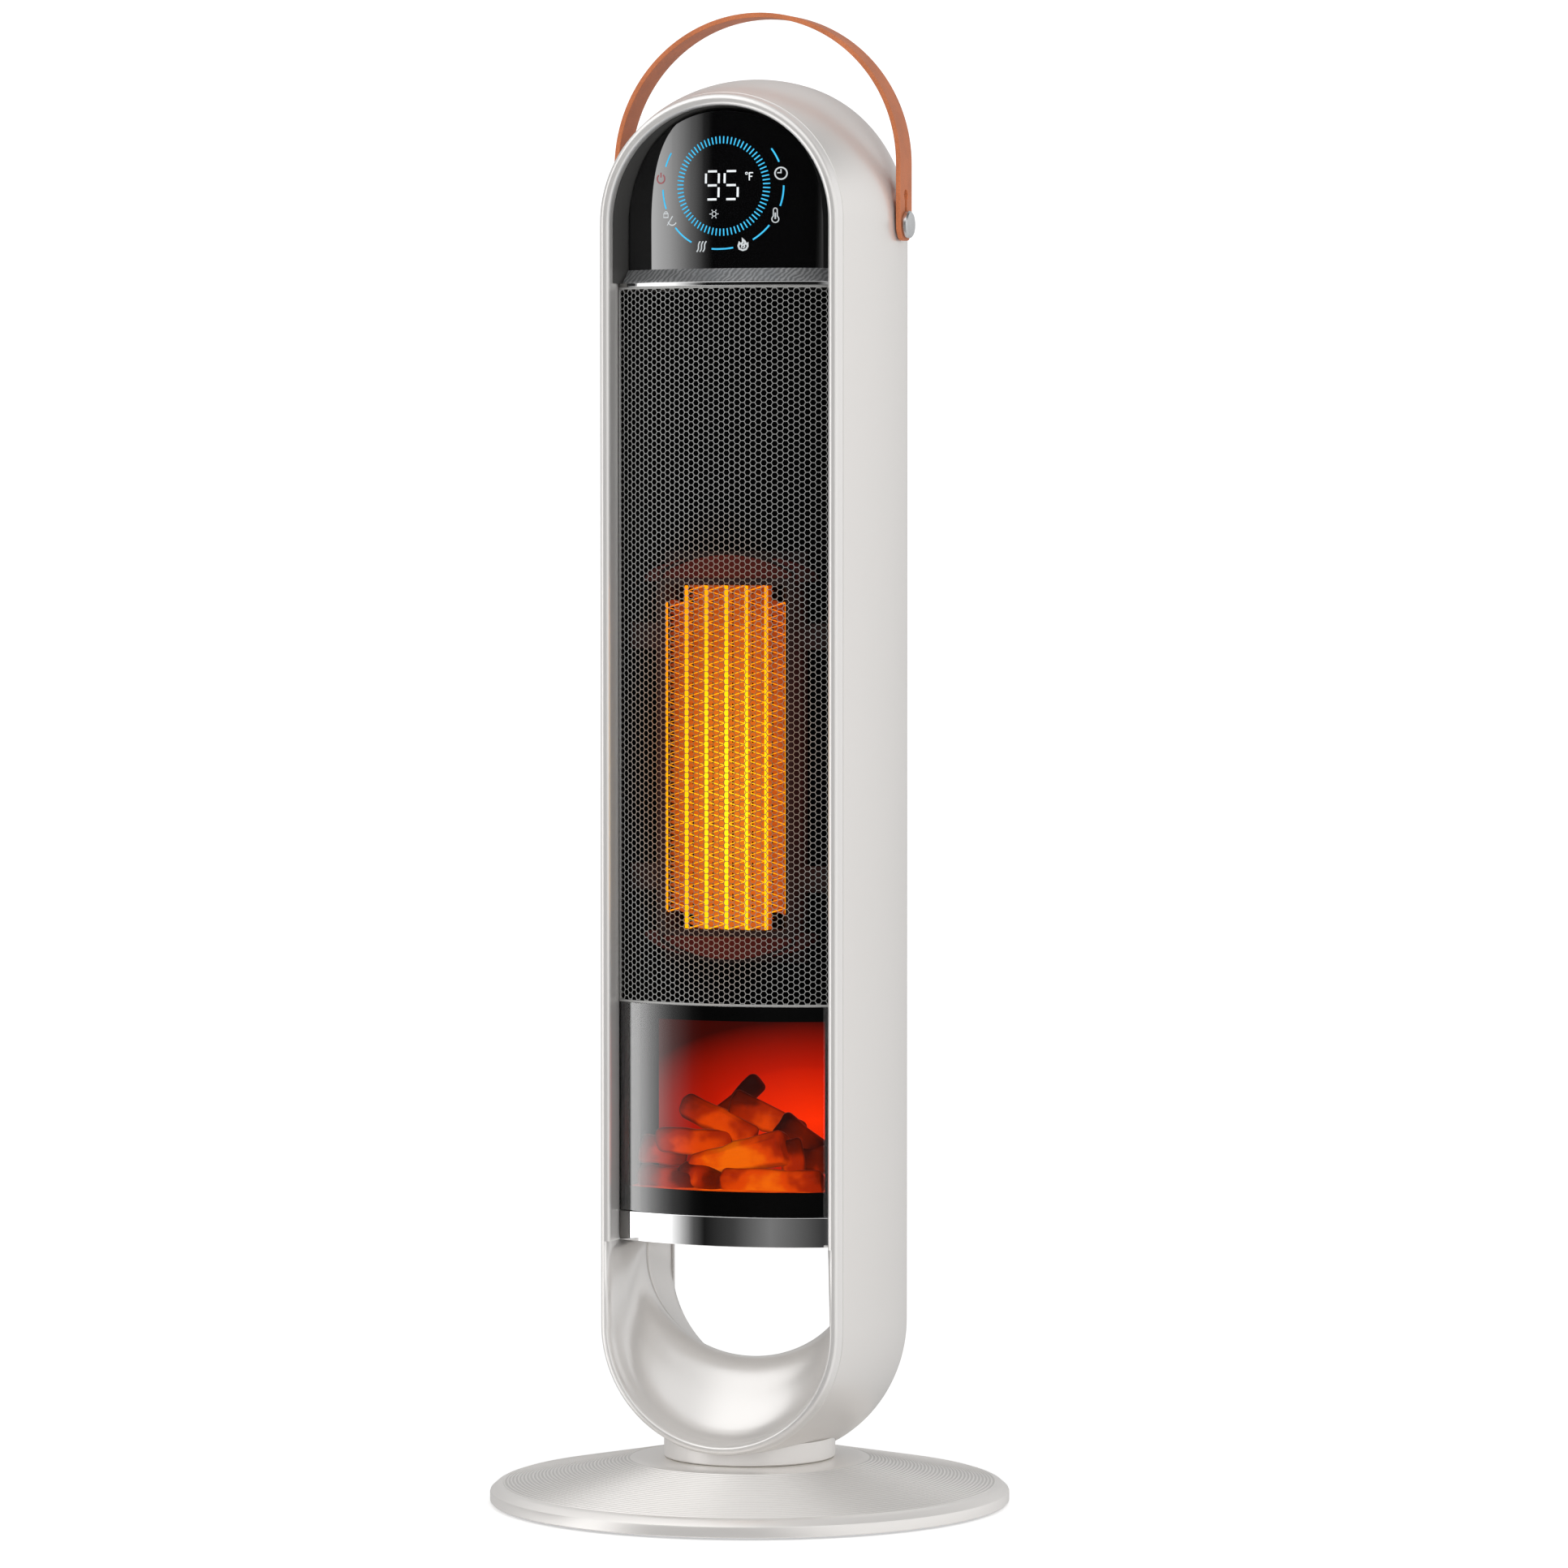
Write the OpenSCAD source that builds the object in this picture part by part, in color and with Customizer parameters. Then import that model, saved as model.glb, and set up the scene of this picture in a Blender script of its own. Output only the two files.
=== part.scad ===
// Ceramic tower heater on a round swivelling base, with a flame window and a carrying strap.
// Millimetres. Origin at the centre of the base on the floor, front to -Y, +Z up.

/* [Hoop housing] */
// Height of the lower arch centre above the floor
arch_low_z = 98.4; // [97:0.2:104]
// Length of the straight sides between the two arch centres
straight_h = 588; // [560:1:640]
// Widest half width of the housing, at its crown
crown_half_w = 78.5; // [77.5:0.1:79]
// Radius of the crowned outside, seen from above
crown_r = 205; // [190:1:230]
// Depth of the crown line behind the base axis
crown_y = 20; // [16:0.5:23]
// Depth of the flat back behind the base axis
back_y = 44; // [42.5:0.25:48]
// Radius that rounds the back edge
back_fillet = 13; // [8:0.5:15]
// Wall of the outer shell
shell_wall = 2.6; // [1.8:0.1:3.2]
// Half width between the inner faces of the front rim
rim_half_w = 61.6; // [60.8:0.1:62.4]
// Thickness of the rounded front rim
rim_thick = 5.8; // [5:0.1:6.2]
// Depth of the front rim's nose in front of the base axis
nose_y = 49.5; // [49:0.25:51]
// Wall of the front frame inside the rim
frame_wall = 2; // [1.4:0.1:2.2]

/* [Loop under the column] */
// Half width of the loop hole
loop_half_w = 60.7; // [58:0.1:60.8]
// Height of the hole's widest line at its crest
loop_crest_z = 133; // [128:0.5:138]
// Drop from that line to the bottom of the crest
loop_crest_drop = 52; // [46:0.5:54]
// Height of the widest line of the hole at the back
loop_back_z = 121; // [116:0.5:128]
// Depth of the crest in front of the base axis
loop_crest_y = 4; // [0:0.5:10]
// Wall of the scoop round the hole
scoop_wall = 2.4; // [1.6:0.1:3]

/* [Column] */
// Height of the column's underside
column_z = 143; // [141:0.5:148]
// Radius of the curved front, seen from above
front_r = 130; // [115:1:160]
// Height of the bright band at the bottom
band_h = 16; // [10:0.5:18]
// Height of the flame window
window_h = 112; // [104:1:116]
// Height of the hexagon grille
grille_h = 381.7; // [372:0.5:390]
// Height of the bright line above the grille
trim_h = 2.1; // [1.2:0.1:3]
// Height of the sloping ledge under the display
ledge_h = 7.2; // [5:0.1:9]
// Thickness of the window
window_thick = 2; // [1.5:0.1:2.6]
// Thickness of the grille sheet
grille_thick = 0.8; // [0.6:0.1:1.2]
// Clearance between neighbouring fixed pieces
seat_gap = 0.3; // [0.2:0.05:0.4]

/* [Display] */
// Radius of the display glass, seen from above
display_r = 120; // [100:1:160]
// Depth of the glass in front of the base axis
display_y = 42.2; // [40:0.2:43.5]
// Half width of the glass
display_half_w = 58.8; // [56:0.1:59.4]
// Thickness of the glass
display_thick = 3; // [2:0.1:4]

/* [Base] */
// Radius of the base
base_r = 140; // [130:1:160]
// Height of the base's upright edge above the floor
base_edge_z = 6.8; // [6.4:0.1:7.6]
// Height of the base's flat top
base_top_z = 24.4; // [24:0.1:25.2]
// Radius where the cone meets the flat top
base_flat_r = 61; // [54:1:68]
// Wall of the base cover
base_wall = 2.4; // [1.8:0.1:2.6]
// Thickness of the steel weight
weight_h = 4.5; // [3:0.25:5]
// Spacing of the fine ridges on the cone
ridge_pitch = 3.8; // [3:0.1:6]

/* [Swivel] */
// Radius of the neck
neck_r = 46.2; // [45:0.1:47]
// Wall of the neck
neck_wall = 2.6; // [2:0.1:3.2]
// Height of the neck's top
neck_top_z = 36; // [35.5:0.25:36.5]
// Radius of the hollow spindle
spindle_r = 16; // [15:0.1:16.4]
// Running clearance of the spindle in its hub
spindle_play = 0.06; // [0.04:0.01:0.08]
// Gear module
gear_module = 1; // [0.9:0.05:1.05]
// Teeth of the fixed gear
gear_teeth = 48; // [48:1:49]
// Teeth of the drive pinion
pinion_teeth = 16; // [14:1:16]

/* [Handle] */
// Radius of the strap's arch, inside
strap_r = 79.2; // [79.1:0.1:81]
// Thickness of the strap
strap_thick = 2.6; // [2:0.1:3.4]
// Width of the strap
strap_w = 19.2; // [14:0.2:24]
// Height of the arch centre above the studs
strap_rise = 32.3; // [28:0.5:45]
// Radius of the stud heads
stud_head_r = 7.25; // [6:0.25:9]
// Radius of the stud pins
stud_r = 2.5; // [2:0.1:2.8]
// Running clearance of the strap on its pins
stud_play = 0.08; // [0.04:0.01:0.1]

/* [Fan and heater] */
// Radius of the fan wheel
fan_r = 24; // [20:0.5:25]
// Blades of the fan wheel
fan_blades = 24; // [16:1:30]
// Depth of the fan axis behind the base axis
fan_y = 8; // [6:0.5:9]
// Radius of the fan shaft
shaft_r = 3; // [2.5:0.1:3.4]
// Running clearance of the shaft
shaft_play = 0.06; // [0.04:0.01:0.08]
// Height of the heater's lower edge
heater_z = 311; // [306:0.5:314]
// Length of the heating bars
bar_h = 183; // [150:1:186]
// Spacing of the heating bars
bar_pitch = 11.3; // [10:0.1:11.6]
// Width of a heating bar
bar_w = 3.2; // [2.4:0.1:4]
// Depth of the bars and fins
bar_depth = 12; // [8:0.5:12]
// Spacing of the fin folds
fold_pitch = 4.6; // [3.6:0.1:6]

/* [Hidden] */
$fn = 96;
eps = 0.01;
arch_high_z = arch_low_z + straight_h;
stud_z = arch_high_z;
rim_r = rim_thick / 2;
rim_y = -nose_y + rim_r;
seam_y = rim_y + 3.6;
crown_x = crown_half_w - crown_r;
front_apex_y = -nose_y - 1.5;
front_axis_y = front_apex_y + front_r;
front_edge_y = front_axis_y - sqrt(front_r * front_r - rim_half_w * rim_half_w);
panel_half_w = rim_half_w - seat_gap;
window_z = column_z + band_h;
grille_z = window_z + window_h;
trim_z = grille_z + grille_h;
ledge_z = trim_z + trim_h;
display_z = ledge_z + ledge_h;
display_axis_y = -display_y + display_r;
display_edge_y = display_axis_y - sqrt(display_r * display_r - display_half_w * display_half_w);
inner_back_y = back_y - shell_wall;
back_panel_half_w = loop_half_w - 1.2;
cover_gap = 0.3;
ledge_lip = 0.4;

// Display insides
dial_z = arch_high_z + 19.1;
key_ring_r = 33.4;
spring_r = 3;
display_board_y = -display_y + display_thick + 11;
display_board_h = 1.6;
display_board_half_w = 48;
bezel_flange_x = 41;
bezel_flange_h = 2;

// Base
plate_z = 1;
plate_h = 2;
foot_h = 1.2;
foot_r = 9;
foot_count = 5;
foot_ring_r = base_r - 22;
chamfer_in = 4;
chamfer_up = 3.3;
base_ring_top_z = base_edge_z + chamfer_up;
base_screw_ring_r = 64;
base_screw_count = 6;
hub_wall = 4;
hub_low_z = 9;
weight_in_r = 74;
weight_out_r = foot_ring_r - foot_r + 15;
glide_w = neck_wall - 0.6;
glide_h = 1.2;
glide_up = 0.2;
neck_z = base_top_z + glide_up + seat_gap;
neck_plate_h = 3;
spindle_bore_r = 12;
spindle_low_z = hub_low_z - 0.3;
retainer_r = 20;
retainer_h = 2;
retainer_screw_ring_r = (spindle_r + spindle_bore_r) / 2;

neck_screw_ys = [-20, 30];
boss_r = 4;
front_boss_z = 50;
rear_boss_z = 74;

// Gears
pressure_angle = 20;
gear_backlash = 0.12;
gear_h = 6;
gear_bore_r = spindle_r + 1;
gear_screw_ring_r = gear_bore_r + 2.6;
pinion_z = base_top_z + 0.8;
pinion_h = 6.5;
motor_lift = 5;
motor_neck_r = 9;
gear_centre = gear_module * (gear_teeth + pinion_teeth) / 2;
motor_shaft_r = 2.5;
motor_r = 13.5;
motor_h = 18;

// Rear lower fittings
gland_x = 19;
gland_z = 50;
gland_bore_r = 3.6;
gland_r = 6.5;
switch_x = -19;
switch_w = 19;
switch_h = 12.6;
switch_depth = 15;
rocker_play = 0.35;
switch_wall = 1.4;
rocker_pivot_y = back_y - 2.4;
rocker_travel = 22;
rocker_pin_r = 1;

// Column insides
heater_frame_t = 4;
duct_lip = 14;
duct_lip_r = 60;
rail_thick = 2.2;
rail_half_w = panel_half_w - 1.2;
rail_front_y = front_edge_y + 3.5;
rail_back_y = inner_back_y - 1.4;
shelf_h = 3;
bearing_shelf_z = heater_z - heater_frame_t - duct_lip - 6;
fan_end_gap = 5;
fan_z = bearing_shelf_z + shelf_h + fan_end_gap;
motor_shelf_z = heater_z + bar_h + heater_frame_t + duct_lip + 2;
fan_h = motor_shelf_z - fan_end_gap - fan_z;
top_shelf_z = ledge_z - 5;
board_h = 60;
board_half_w = 46;
board_shelf_z = top_shelf_z - 2 * shelf_h - board_h - 4;
board_y = rail_back_y - 13.9;
shelf_front_y = front_edge_y + 4;
shaft_z = bearing_shelf_z - 4;
fan_motor_r = 27;
fan_motor_h = 36;
bearing_r = 7;
bearing_h = 7;
fan_shell_r = fan_r + 4;
fan_shell_wall = 1.8;
cover_screw_x = back_panel_half_w - 4;
cover_screw_zs = [column_z + 18, grille_z + 24, motor_shelf_z + 24, display_z - 20];
screw_r = 1.5;
screw_head_r = 2.9;
screw_head_h = 1.8;

// Back cover's inlet and filter
slot_rows = 30;
slot_pitch = 8;
slot_w = 40;
slot_h = 3.4;
slot_web = 8;
filter_reach = 18;
filter_half_w = 50;
filter_edge = 4;

// Heater
bars = 5;
heater_y = front_apex_y + 14.5;
heater_half_w = (bars + 1) * bar_pitch / 2;
fin_w = bar_pitch - bar_w - 0.2;
fin_sheet = 0.5;
corner_step = 9;
heater_frame_depth = bar_depth + 3;
duct_plate_h = 2.5;
duct_back_y = heater_y + heater_frame_depth + seat_gap + duct_plate_h;
duct_half_w = heater_half_w + heater_frame_t + 2.6;
duct_low_z = heater_z - heater_frame_t - seat_gap - duct_lip;
duct_high_z = heater_z + bar_h + heater_frame_t + seat_gap + duct_lip;
panel_y = duct_back_y - duct_plate_h;
panel_thick = 1.6;

// Flame chamber
lip_low_h = 13;
lip_high_h = 8;
chamber_half_w = rail_half_w - rail_thick - seat_gap;
chamber_back_y = 12;
chamber_wall = 2;
lip_r = front_r - window_thick - 0.6;

// Strap ends
strap_tail = 8.6;
slot_top = 18.6;
slot_eye_r = 3;
slot_half_w = 1.6;

// Sweeps a flat profile, x across and y back, round the two arches and both straight sides.
module hoop() {
    low_arch() children();
    high_arch() children();
    sides() children();
}

module low_arch() {
    translate([0, 0, arch_low_z]) rotate([-90, 0, 0]) rotate_extrude(angle = 180) children();
}

module high_arch() {
    translate([0, 0, arch_high_z]) mirror([0, 0, 1])
        rotate([-90, 0, 0]) rotate_extrude(angle = 180) children();
}

module sides() {
    for (side = [0, 1]) mirror([side, 0, 0])
        translate([0, 0, arch_low_z]) linear_extrude(height = straight_h) children();
}

// Extrudes a front view, x across and y up, from one depth to another.
module deep(y_front, y_back) {
    translate([0, y_back, 0]) rotate([90, 0, 0]) linear_extrude(height = y_back - y_front) children();
}

// A box given by its lowest and highest corners.
module block(low, high) {
    translate(low) cube(high - low);
}

// Points along the outside of the housing's plan from depth y_start to the back, moved inwards by inset.
fillet_y = back_y - back_fillet;
fillet_turn = asin((fillet_y - crown_y) / (crown_r - back_fillet));
fillet_x = crown_x + (crown_r - back_fillet) * cos(fillet_turn);
crown_steps = 10;
fillet_steps = 6;
function crown_point(r, a) = [crown_x + r * cos(a), crown_y + r * sin(a)];
function plan_side(inset, y_start) =
    let (r = crown_r - inset, a0 = asin((y_start - crown_y) / r))
    concat([for (i = [0 : crown_steps]) crown_point(r, mix(a0, fillet_turn, i / crown_steps))],
           [for (i = [1 : fillet_steps]) let (a = mix(fillet_turn, 90, i / fillet_steps))
               [fillet_x + (back_fillet - inset) * cos(a), fillet_y + (back_fillet - inset) * sin(a)]]);

// Half of the shell's plan: the crowned side and a flange along the back.
module shell_half() {
    outer = plan_side(0, seam_y);
    inner = plan_side(shell_wall, seam_y);
    flange_x = back_panel_half_w + cover_gap;
    polygon(concat(outer, [[flange_x, back_y], [flange_x, inner_back_y]],
                   [for (i = [len(inner) - 1 : -1 : 0]) inner[i]]));
}

// A curved sheet that follows the column's front, between two radii and two heights.
module front_sheet(r_out, thick, z_low, z_high, half_w) {
    intersection() {
        translate([0, front_axis_y, z_low]) difference() {
            cylinder(r = r_out, h = z_high - z_low);
            translate([0, 0, -1]) cylinder(r = r_out - thick, h = z_high - z_low + 2);
        }
        block([-half_w, front_apex_y - 5, z_low - 1], [half_w, front_edge_y + 12, z_high + 1]);
    }
}

// The solid bounded in front by the column's curve.
module column_block(r_out, z_low, z_high, half_w, y_back) {
    intersection() {
        translate([0, front_axis_y, z_low]) cylinder(r = r_out, h = z_high - z_low);
        block([-half_w, front_apex_y - 5, z_low - 1], [half_w, y_back, z_high + 1]);
    }
}

// Loop hole sections: centre height, half width and drop at a share t of the way back.
scoop_turn = 68;
loop_steps = 10;
loop_arc_steps = 36;
function scoop_ease(t) = (1 - cos(scoop_turn * t)) / (1 - cos(scoop_turn));
function mix(a, b, t) = a + (b - a) * t;
function front_section(t) = [mix(arch_low_z, loop_crest_z, scoop_ease(t)),
                             mix(rim_half_w, loop_half_w, scoop_ease(t)),
                             mix(rim_half_w, loop_crest_drop, scoop_ease(t))];
function back_section(t) = [mix(loop_crest_z, loop_back_z, t), loop_half_w,
                            mix(loop_crest_drop, loop_half_w, t)];
function section_ring(s, y, grow, z_top) =
    concat([[s[1] + grow, y, z_top]],
           [for (i = [0 : loop_arc_steps]) let (a = 180 * i / loop_arc_steps)
               [(s[1] + grow) * cos(a), y, s[0] - (s[2] + grow) * sin(a)]],
           [[-s[1] - grow, y, z_top]]);

// Lofts a list of equal rings into one closed solid.
module loft(rings) {
    n = len(rings[0]);
    m = len(rings);
    sides = [for (j = [0 : m - 2]) for (i = [0 : n - 1]) let (k = (i + 1) % n)
        each [[j * n + i, (j + 1) * n + k, j * n + k], [j * n + i, (j + 1) * n + i, (j + 1) * n + k]]];
    first = [for (i = [1 : n - 2]) [0, i, i + 1]];
    last = [for (i = [1 : n - 2]) [(m - 1) * n, (m - 1) * n + i + 1, (m - 1) * n + i]];
    polyhedron(points = [for (r = rings) each r], faces = concat(sides, first, last));
}

// Lofts a wall of the given thickness round a row of hole sections, open at the top.
module channel(sections, depths, grow, wall, z_top) {
    rings = [for (j = [0 : len(sections) - 1])
        let (outer = section_ring(sections[j], depths[j], grow + wall, z_top),
             inner = section_ring(sections[j], depths[j], grow, z_top))
            concat(outer, [for (i = [len(inner) - 1 : -1 : 0]) inner[i]])];
    n = len(rings[0]);
    m = len(rings);
    half = n / 2;
    sides = [for (j = [0 : m - 2]) for (i = [0 : n - 1]) let (k = (i + 1) % n)
        each [[j * n + i, (j + 1) * n + k, j * n + k], [j * n + i, (j + 1) * n + i, (j + 1) * n + k]]];
    ends = [for (e = [0, m - 1]) for (i = [0 : half - 2])
        let (a = e * n + i, b = a + 1, c = e * n + n - 2 - i, d = c + 1)
            each (e == 0 ? [[a, b, c], [a, c, d]] : [[a, c, b], [a, d, c]])];
    polyhedron(points = [for (r = rings) each r], faces = concat(sides, ends));
}

// Front half of the loop: a scoop that rises from the rim to the crest.
module scoop_front() {
    steps = [for (j = [0 : loop_steps]) j / loop_steps];
    channel([for (t = steps) front_section(t)], [for (t = steps) mix(rim_y + 1, -loop_crest_y, t)],
            seat_gap, scoop_wall, column_z);
}

// Back half of the loop: its wall from the crest to the back.
module scoop_back() {
    channel([back_section(0), back_section(1)], [-loop_crest_y, back_y - shell_wall / 2],
            seat_gap, scoop_wall, column_z);
}

// The loop hole where it passes the back.
module loop_back_hole() {
    t = 1 - shell_wall / (back_y + loop_crest_y);
    loft([section_ring(back_section(t), inner_back_y - 1, 0, column_z + 1),
          section_ring(back_section(1), back_y + 1, 0, column_z + 1)]);
}

// A pan head screw with its head's seat at the origin and its shank along +Z.
module screw(length, r = screw_r, head_r = screw_head_r, head_h = screw_head_h) {
    translate([0, 0, -head_h / 2]) cylinder(r = r, h = length + head_h / 2);
    translate([0, 0, -head_h]) cylinder(r = head_r, h = head_h);
}

// Points of an involute gear outline.
function inv_angle(r, rb) = let (c = acos(rb / r)) tan(c) * 180 / PI - c;
function gear_points(teeth, mod, thin) =
    let (rp = mod * teeth / 2, rb = rp * cos(pressure_angle), ra = rp + 0.9 * mod, rr = rp - 1.15 * mod,
         half = 90 / teeth - thin / rp * 90 / PI, r0 = max(rb, rr + 0.05),
         base_half = half + inv_angle(rp, rb))
    [for (i = [0 : teeth - 1]) let (mid = 360 * i / teeth)
        each concat([[rr, mid - base_half - 0.6]],
                    [for (k = [0 : 4]) let (r = mix(r0, ra, k / 4)) [r, mid - base_half + inv_angle(r, rb)]],
                    [for (k = [4 : -1 : 0]) let (r = mix(r0, ra, k / 4)) [r, mid + base_half - inv_angle(r, rb)]],
                    [[rr, mid + base_half + 0.6]])];
module gear(teeth, h) {
    linear_extrude(height = h)
        polygon([for (p = gear_points(teeth, gear_module, gear_backlash)) [p[0] * cos(p[1]), p[0] * sin(p[1])]]);
}

module base_cover() {
    slope = (base_top_z - base_ring_top_z) / (base_r - chamfer_in - base_flat_r);
    ridge_first_r = base_flat_r + 6;
    ridge_count = floor((base_r - chamfer_in - 3 - ridge_first_r) / ridge_pitch);
    color("whitesmoke") difference() {
        rotate_extrude() difference() {
            union() {
                polygon([[0, plate_z], [base_r, plate_z], [base_r, base_edge_z],
                         [base_r - chamfer_in, base_ring_top_z], [base_flat_r, base_top_z], [0, base_top_z]]);
                for (i = [0 : ridge_count]) let (r = ridge_first_r + i * ridge_pitch)
                    translate([r, base_top_z - (r - base_flat_r) * slope])
                        polygon([[-0.7, -0.5], [0.7, -0.5], [0.35, 0.28], [-0.35, 0.28]]);
            }
            polygon([[0, plate_z - 1], [base_r - base_wall, plate_z - 1], [base_r - base_wall, base_edge_z - base_wall],
                     [base_r - base_wall - chamfer_in, base_ring_top_z - base_wall],
                     [base_flat_r, base_top_z - base_wall], [0, base_top_z - base_wall]]);
        }
        translate([0, 0, base_top_z - glide_h + glide_up]) difference() {
            cylinder(r = neck_r - 0.2, h = glide_h + 1);
            translate([0, 0, -1]) cylinder(r = neck_r - 0.4 - glide_w - 0.2, h = glide_h + 3);
        }
        translate([0, 0, hub_low_z]) cylinder(r = spindle_r + spindle_play, h = base_top_z);
        for (a = [0, 120, 240]) rotate([0, 0, a + 30]) translate([gear_screw_ring_r, 0, 0])
            cylinder(r = screw_r + 0.05, h = base_top_z + 1);
    }
    color("whitesmoke") {
        difference() {
            translate([0, 0, hub_low_z]) cylinder(r = gear_screw_ring_r + hub_wall, h = base_top_z - base_wall - hub_low_z + eps);
            translate([0, 0, hub_low_z - 1]) cylinder(r = spindle_r + spindle_play, h = base_top_z);
            for (a = [0, 120, 240]) rotate([0, 0, a + 30]) translate([gear_screw_ring_r, 0, hub_low_z + 4])
                cylinder(r = screw_r + 0.05, h = base_top_z);
        }
        for (i = [0 : base_screw_count - 1]) rotate([0, 0, 360 * (i + 0.5) / base_screw_count])
            translate([base_screw_ring_r, 0, plate_z + plate_h]) difference() {
                cylinder(r = 4, h = base_top_z - base_wall - plate_z - plate_h - 0.4);
                translate([0, 0, -1]) cylinder(r = screw_r + 0.05, h = 12);
            }
    }
}

module base_plate() {
    color("gainsboro") difference() {
        translate([0, 0, plate_z]) cylinder(r = base_r - base_wall - seat_gap, h = plate_h);
        for (i = [0 : foot_count - 1]) rotate([0, 0, 360 * (i + 0.25) / foot_count]) translate([foot_ring_r, 0, 0])
            cylinder(r = foot_r + 0.1, h = foot_h);
        for (i = [0 : base_screw_count - 1]) rotate([0, 0, 360 * (i + 0.5) / base_screw_count])
            translate([base_screw_ring_r, 0, 0]) {
                cylinder(r = screw_r + 0.2, h = 10);
                cylinder(r = screw_head_r + 0.2, h = plate_z + 1);
            }
    }
}

module base_weight() {
    color("dimgray") translate([0, 0, plate_z + plate_h]) difference() {
        cylinder(r = weight_out_r - 3, h = weight_h);
        translate([0, 0, -1]) cylinder(r = weight_in_r, h = weight_h + 2);
    }
}

module rubber_feet() {
    color("black") for (i = [0 : foot_count - 1]) rotate([0, 0, 360 * (i + 0.25) / foot_count])
        translate([foot_ring_r, 0, 0]) cylinder(r = foot_r, h = foot_h);
}

module base_screws() {
    color("silver") for (i = [0 : base_screw_count - 1]) rotate([0, 0, 360 * (i + 0.5) / base_screw_count])
        translate([base_screw_ring_r, 0, plate_z + 1]) screw(8, head_h = 0.8);
}

module glide_ring() {
    color("ivory") translate([0, 0, base_top_z - glide_h + glide_up]) difference() {
        cylinder(r = neck_r - 0.4, h = glide_h);
        translate([0, 0, -1]) cylinder(r = neck_r - 0.4 - glide_w, h = glide_h + 2);
    }
}

module fixed_gear() {
    color("ivory") translate([0, 0, base_top_z]) difference() {
        gear(gear_teeth, gear_h);
        translate([0, 0, -1]) cylinder(r = gear_bore_r, h = gear_h + 2);
        for (a = [0, 120, 240]) rotate([0, 0, a + 30]) translate([gear_screw_ring_r, 0, -1])
            cylinder(r = screw_r + 0.05, h = gear_h + 2);
    }
}

module gear_screws() {
    color("silver") for (a = [0, 120, 240]) rotate([0, 0, a + 30])
        translate([gear_screw_ring_r, 0, base_top_z + gear_h]) mirror([0, 0, 1])
            screw(gear_h + 8, head_r = 2.3, head_h = 1);
}

module swivel_neck() {
    color("whitesmoke") difference() {
        union() {
            difference() {
                translate([0, 0, neck_z]) cylinder(r = neck_r, h = neck_top_z - neck_z);
                translate([0, 0, neck_z - 1]) cylinder(r = neck_r - neck_wall, h = neck_top_z - neck_z - neck_plate_h + 1);
            }
            translate([0, 0, spindle_low_z]) cylinder(r = spindle_r, h = neck_top_z - spindle_low_z);
        }
        translate([0, 0, spindle_low_z - 1]) cylinder(r = spindle_bore_r, h = neck_top_z);
        translate([-gear_centre, 0, neck_top_z - neck_plate_h - 1]) cylinder(r = motor_shaft_r + 1, h = neck_plate_h + 2);
        for (y = neck_screw_ys) translate([0, y, neck_top_z - neck_plate_h - 1])
            cylinder(r = screw_r + 0.1, h = neck_plate_h + 2);
        for (a = [0, 120, 240]) rotate([0, 0, a]) translate([retainer_screw_ring_r, 0, spindle_low_z - 1])
            cylinder(r = 1.05, h = 9);
    }
}

module spindle_retainer() {
    color("silver") translate([0, 0, spindle_low_z - retainer_h]) difference() {
        cylinder(r = retainer_r, h = retainer_h);
        translate([0, 0, -1]) cylinder(r = spindle_bore_r - 1, h = retainer_h + 2);
        for (a = [0, 120, 240]) rotate([0, 0, a]) translate([retainer_screw_ring_r, 0, -1])
            cylinder(r = 1.05, h = retainer_h + 2);
    }
}

module retainer_screws() {
    color("silver") for (a = [0, 120, 240]) rotate([0, 0, a])
        translate([retainer_screw_ring_r, 0, spindle_low_z - retainer_h])
            screw(retainer_h + 7, r = 1, head_r = 1.9, head_h = 1);
}

module neck_screws() {
    color("silver") for (y = neck_screw_ys)
        translate([0, y, neck_top_z - neck_plate_h]) screw(neck_plate_h + 7, head_h = 1.2);
}

module swing_motor() {
    color("silver") difference() {
        translate([-gear_centre, 0, neck_top_z + motor_lift]) union() {
            translate([0, 0, -motor_lift]) cylinder(r = motor_neck_r, h = motor_lift + 1);
            cylinder(r = motor_r, h = motor_h);
            translate([-3.5, -motor_r - 3, 0]) cube([7, 2 * motor_r + 6, 1]);
            translate([motor_r - 3, -6, 2]) cube([5, 12, motor_h - 4]);
        }
        translate([-gear_centre, 0, neck_top_z - 1]) cylinder(r = motor_shaft_r + shaft_play, h = 9);
    }
}

module drive_pinion() {
    turn = 180 / pinion_teeth * ((gear_teeth + 1) % 2);
    color("ivory") translate([-gear_centre, 0, pinion_z]) rotate([0, 0, turn]) gear(pinion_teeth, pinion_h);
    color("silver") translate([-gear_centre, 0, pinion_z + pinion_h - eps])
        cylinder(r = motor_shaft_r, h = neck_top_z + 7 - pinion_z - pinion_h);
}

module tilt_switch() {
    color("black") {
        block([26, -7, neck_top_z], [40, 7, neck_top_z + 2]);
        block([28, -5, neck_top_z + 2 - eps], [38, 5, neck_top_z + 16]);
    }
}

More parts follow.
